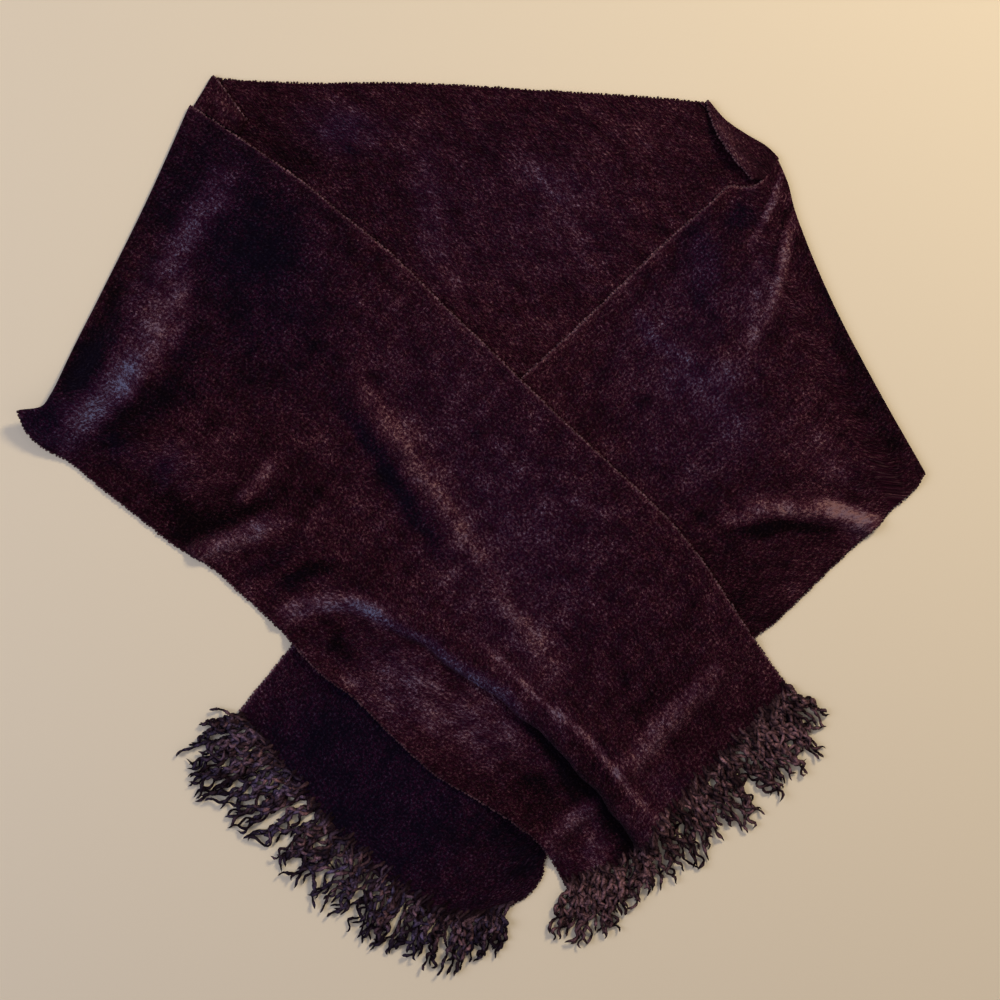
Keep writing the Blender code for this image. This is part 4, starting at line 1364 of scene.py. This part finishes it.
selvage_material = yarn_material(
    "selvage_yarn", (0.016, 0.0045, 0.0085, 1.0), (0.190, 0.100, 0.125, 1.0), sheen_weight=0.05
)
fringe_material = yarn_material(
    "fringe_yarn", (0.0040, 0.0018, 0.0030, 1.0), (0.300, 0.150, 0.170, 1.0), sheen_weight=0.03
)
print("materials:", selvage_material.name, "and", fringe_material.name)

# %% Make the selvages
# The second number of each edge is the painted highlight of its loops, strongest on the inner edges and
# the tucks.
SELVAGES = {
    "back_stretch": ("back_selvage", ((0.0, 0.25),), 11),
    "under_arm": ("under_selvages", ((0.0, 1.1), (1.0, 0.25)), 12),
    "over_arm": ("over_selvages", ((0.0, 1.1), (1.0, 0.6)), 13),
    "left_tuck": ("left_tuck_selvage", ((0.0, 1.5),), 14),
    "right_tuck": ("right_tuck_selvage", ((0.0, 0.9),), 15),
}
for cad_node, (piece_name, edges, seed) in SELVAGES.items():
    piece = selvage_loops(piece_name, CLOTHS[cad_node][1], edges, selvage_material, seed)
    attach(piece, "root")

# %% [markdown]
# Fringes
#
# At the hem the chenille yarns are left free, about 50 mm long. They curl tightly, cling together in
# small bunches and lie in a loose heap two or three yarns deep, with gaps near the hem. A few are loose
# before the hem and come out on top of the cloth. Hair curves could make them, but a mesh is what every
# program keeps, so each yarn is a tube: a ring of points carried along a curly path, its radius varied
# so that it looks furry. A path is a heading that swings to and fro, added up step by step, and then
# scaled to the length that it covers. Yarns are closer together at both ends of the hem. Each swells
# and thins in a slow beat. Its colour is painted lighter where it is thick and lies high in the heap,
# with a painted highlight along its top side, and painted nearly black as shade where others cover it
# and near the hem. On a bluish fringe it is darker towards its tip, and its lightness varies at random.

# %% Yarn values
OVER_TIPS = [
    (283, -158),
    (279, -186),
    (256, -213),
    (234, -237),
    (205, -254),
    (181, -279),
    (150, -295),
    (118, -318),
    (88, -343),
    (67, -345),
]
UNDER_TIPS = [
    (-226, -160),
    (-228, -212),
    (-200, -246),
    (-168, -268),
    (-139, -298),
    (-115, -322),
    (-80, -342),
    (-48, -358),
    (-18, -362),
    (15, -346),
]
YARNS = 196
CROWDED = 0.04
BUNCHES = 25
YARN_STEPS = 44
YARN_SIDES = 7
YARN_RADIUS = 1.52
YARN_INSIDE = 4.0
YARN_REACH = 50.0
SHORTEST = 0.42
LONGER_BY = 0.66
LOOSE_AT = (-10.0, 7.0)
LOOSE_RISE = 1.6
CURLS = ((0.25, 0.3, 0.8), (0.5, 1.0, 2.2), (0.75, 2.8, 5.2))
SPLAY = 0.75
MOST_TURN = 1.4
LEAST_SPAN = 0.55
BEATS = (3.5, 6.5)
BEAT_HOP = 2.4
FUR = 0.3
HEAP = 3.8
CLEAR = 0.2
print("yarns of a fringe:", YARNS, "in about", BUNCHES, "bunches")


# %% Yarn paths
def swing(random, size, low, high, t):
    """One slow wave for each yarn, with its own size, number of turns and start."""
    turns = random.uniform(low, high, YARNS)[:, None]
    phase = random.uniform(0.0, 2 * math.pi, YARNS)[:, None]
    return random.normal(0.0, size, YARNS)[:, None] * np.sin(2 * math.pi * turns * t + phase)


def yarn_paths(stretch, tips, random):
    """Middle lines of the yarns of one fringe, and their beat: 1 where a yarn is thick and lies high.

    Heading = way to the tip + three swings + a splay that fades, held within a most turn. A path adds
    up the steps of its heading. In the plan it is then pulled towards its bunch, most near the hem.
    Its height = the yarn's level in the heap, less towards the tip, + a swing + the beat.
    """
    place = (np.arange(YARNS) + random.uniform(0.15, 0.85, YARNS)) / YARNS
    v = place - CROWDED * np.sin(2 * math.pi * place)
    back = np.maximum(random.uniform(*LOOSE_AT, YARNS), 0.0)
    start = stretch.surface(1.0 - (back + YARN_INSIDE) / stretch.length, v)[0]
    root = stretch.surface(1.0 - back / stretch.length, v)[0]
    root[:, 2] += np.minimum(back, LOOSE_RISE)
    bunch = np.clip((np.floor(v * BUNCHES) + 0.5) / BUNCHES + random.normal(0.0, 0.004, YARNS), 0.0, 1.0)
    aim = np.clip(v + random.normal(0.0, 0.025, YARNS), 0.0, 1.0)
    tip = smooth_rows(tips, aim)
    reach = (tip - root[:, :2]) * (SHORTEST + LONGER_BY * random.uniform(0.0, 1.0, YARNS) ** 0.8)[:, None]
    length = np.linalg.norm(reach, axis=1)
    t = np.linspace(0.0, 1.0, YARN_STEPS)
    heading = sum(swing(random, *curl, t) for curl in CURLS)
    heading = heading + random.normal(0.0, SPLAY, (YARNS, 1)) * (1.0 - smoothstep(t / 0.35))
    towards_tip = np.arctan2(reach[:, 1], reach[:, 0])[:, None]
    heading = MOST_TURN * np.tanh(heading / MOST_TURN) + towards_tip
    steps = np.stack((np.cos(heading), np.sin(heading)), -1)
    path = np.cumsum(steps, axis=1) - steps[:, :1]
    spanned = np.linalg.norm(path[:, -1], axis=1)
    path *= (length / np.maximum(spanned, YARN_STEPS * LEAST_SPAN))[:, None, None]
    pull = (stretch.surface(np.ones(YARNS), bunch)[0] - root)[:, None, :2]
    tight = random.uniform(0.3, 1.0, BUNCHES + 1)[np.floor(v * BUNCHES).astype(int)]
    gather = smoothstep(t / 0.16) * (1.0 - smoothstep((t - 0.2) / 0.6))
    plan = root[:, None, :2] + path + pull * (gather * tight[:, None])[..., None]
    turns = random.uniform(*BEATS, (YARNS, 1)) * (length / YARN_REACH)[:, None]
    beat = 0.5 + 0.5 * np.sin(2 * math.pi * turns * t + random.uniform(0.0, 6.0, (YARNS, 1)))
    level = random.uniform(0.0, 1.0, YARNS)[:, None] * HEAP
    hop = swing(random, 1.0, 0.8, 2.0, t) + BEAT_HOP * (beat - 0.5)
    rest = YARN_RADIUS + CLEAR + np.maximum(level * (1.0 - 0.6 * t) + hop, 0.0)
    drop = smoothstep((t - (back / YARN_REACH)[:, None]) / 0.3)
    z = np.maximum(root[:, 2:3] * (1.0 - drop) + rest * drop, YARN_RADIUS + CLEAR)
    path = np.concatenate((plan, z[..., None]), -1)
    return np.concatenate((start[:, None], path), axis=1), np.concatenate((beat[:, :1], beat), axis=1)


print("a yarn reaches from", SHORTEST, "to", round(SHORTEST + LONGER_BY, 2), "of the way to the tips")


# %% Yarn tubes
def yarn_light_and_tone(height, angle, beat, t, cool, random):
    """Painted light and shade of a yarn: by its height in the heap, its beat, its top side and its place,
    and a random tone.
    """
    # Painted light: higher yarns, thick beats and the top of each ring are lighter. Painted shade near
    # the hem.
    heap_light = smoothstep((height - 1.2) / 5.0)
    top_highlight = 0.12 + 0.88 * np.maximum(np.sin(angle), 0.0) ** 1.5
    root_shade = 0.4 + 0.6 * smoothstep(t / 0.12)
    tip_dark = 1.0 - min(2.0 * cool, 0.55) * smoothstep((t - 0.45) / 0.35)
    tone = (0.05 + 0.6 * heap_light + 0.75 * beat[..., None] ** 2) * top_highlight * (root_shade * tip_dark)[:, None]
    return tone * random.uniform(0.1, 1.0, (len(height), 1, 1))


def yarn_tubes(name, paths, beat, cool, random):
    """Tubes round the paths: rings square to each path, thick where the beat is 1, tapered and furry."""
    count, steps, _ = paths.shape
    ahead = unit(np.gradient(paths, axis=1))
    side = unit(np.cross(ahead, (0.0, 0.0, 1.0)))
    up = np.cross(side, ahead)
    t = np.linspace(0.0, 1.0, steps)
    taper = 1.0 - 0.2 * t**3
    closing = np.sqrt(np.clip((1.0 - t) / 0.06, 0.0, 1.0))
    radius = YARN_RADIUS * taper * np.maximum(closing, 0.1) * random.uniform(0.78, 1.1, (count, 1))
    radius = radius * (0.68 + 0.42 * beat)
    fur = 1.0 + random.uniform(-FUR, FUR, (count, steps, YARN_SIDES))
    angle = np.arange(YARN_SIDES) * 2 * math.pi / YARN_SIDES
    ring = np.cos(angle)[:, None] * side[:, :, None] + np.sin(angle)[:, None] * up[:, :, None]
    points = paths[:, :, None] + ring * (radius[..., None] * fur)[..., None]
    points[..., 2] = np.maximum(points[..., 2], 0.05)
    grid = np.arange(count * steps * YARN_SIDES).reshape(count, steps, YARN_SIDES)
    after = np.roll(grid, -1, axis=2)
    quads = np.stack((grid[:, :-1], after[:, :-1], after[:, 1:], grid[:, 1:]), -1).reshape(-1, 4)
    root, tip = grid[:, 0], grid[:, -1]
    caps = [
        np.stack((np.repeat(rim[:, :1], YARN_SIDES - 2, 1), rim[:, 1:-1], rim[:, 2:]), -1).reshape(-1, 3)
        for rim in (root, tip)
    ]
    faces = np.concatenate((quads[:, [0, 1, 2]], quads[:, [0, 2, 3]], caps[0][:, ::-1], caps[1]))
    item = mesh_object(name, points.reshape(-1, 3), faces, fringe_material)
    # The yarns' painted highlight and shade, with a random tone.
    set_point_field(item, "light", yarn_light_and_tone(points[..., 2], angle, beat, t, cool, random))
    hue = cool * random.uniform(0.0, 2.0, (count, 1)) + cool * smoothstep((t - 0.5) / 0.4)
    set_point_field(item, "cool", np.repeat(hue[..., None], YARN_SIDES, axis=-1))
    print(name, "yarns", count, "triangles", len(faces), "top", round(points[..., 2].max(), 1), "mm")
    return item


print("a yarn tube has", YARN_STEPS + 1, "rings of", YARN_SIDES, "points")

# %% Make both fringes
FRINGES = {
    "under_fringe": ("under_fringe_yarns", under, UNDER_TIPS, 0.5, 21),
    "over_fringe": ("over_fringe_yarns", over, OVER_TIPS, 0.06, 22),
}
for cad_node, (piece_name, stretch, tips, cool, seed) in FRINGES.items():
    random = np.random.default_rng(seed)
    paths, beat = yarn_paths(stretch, tips, random)
    piece = yarn_tubes(piece_name, paths, beat, cool, random)
    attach(piece, "root")
    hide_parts(cad_node)
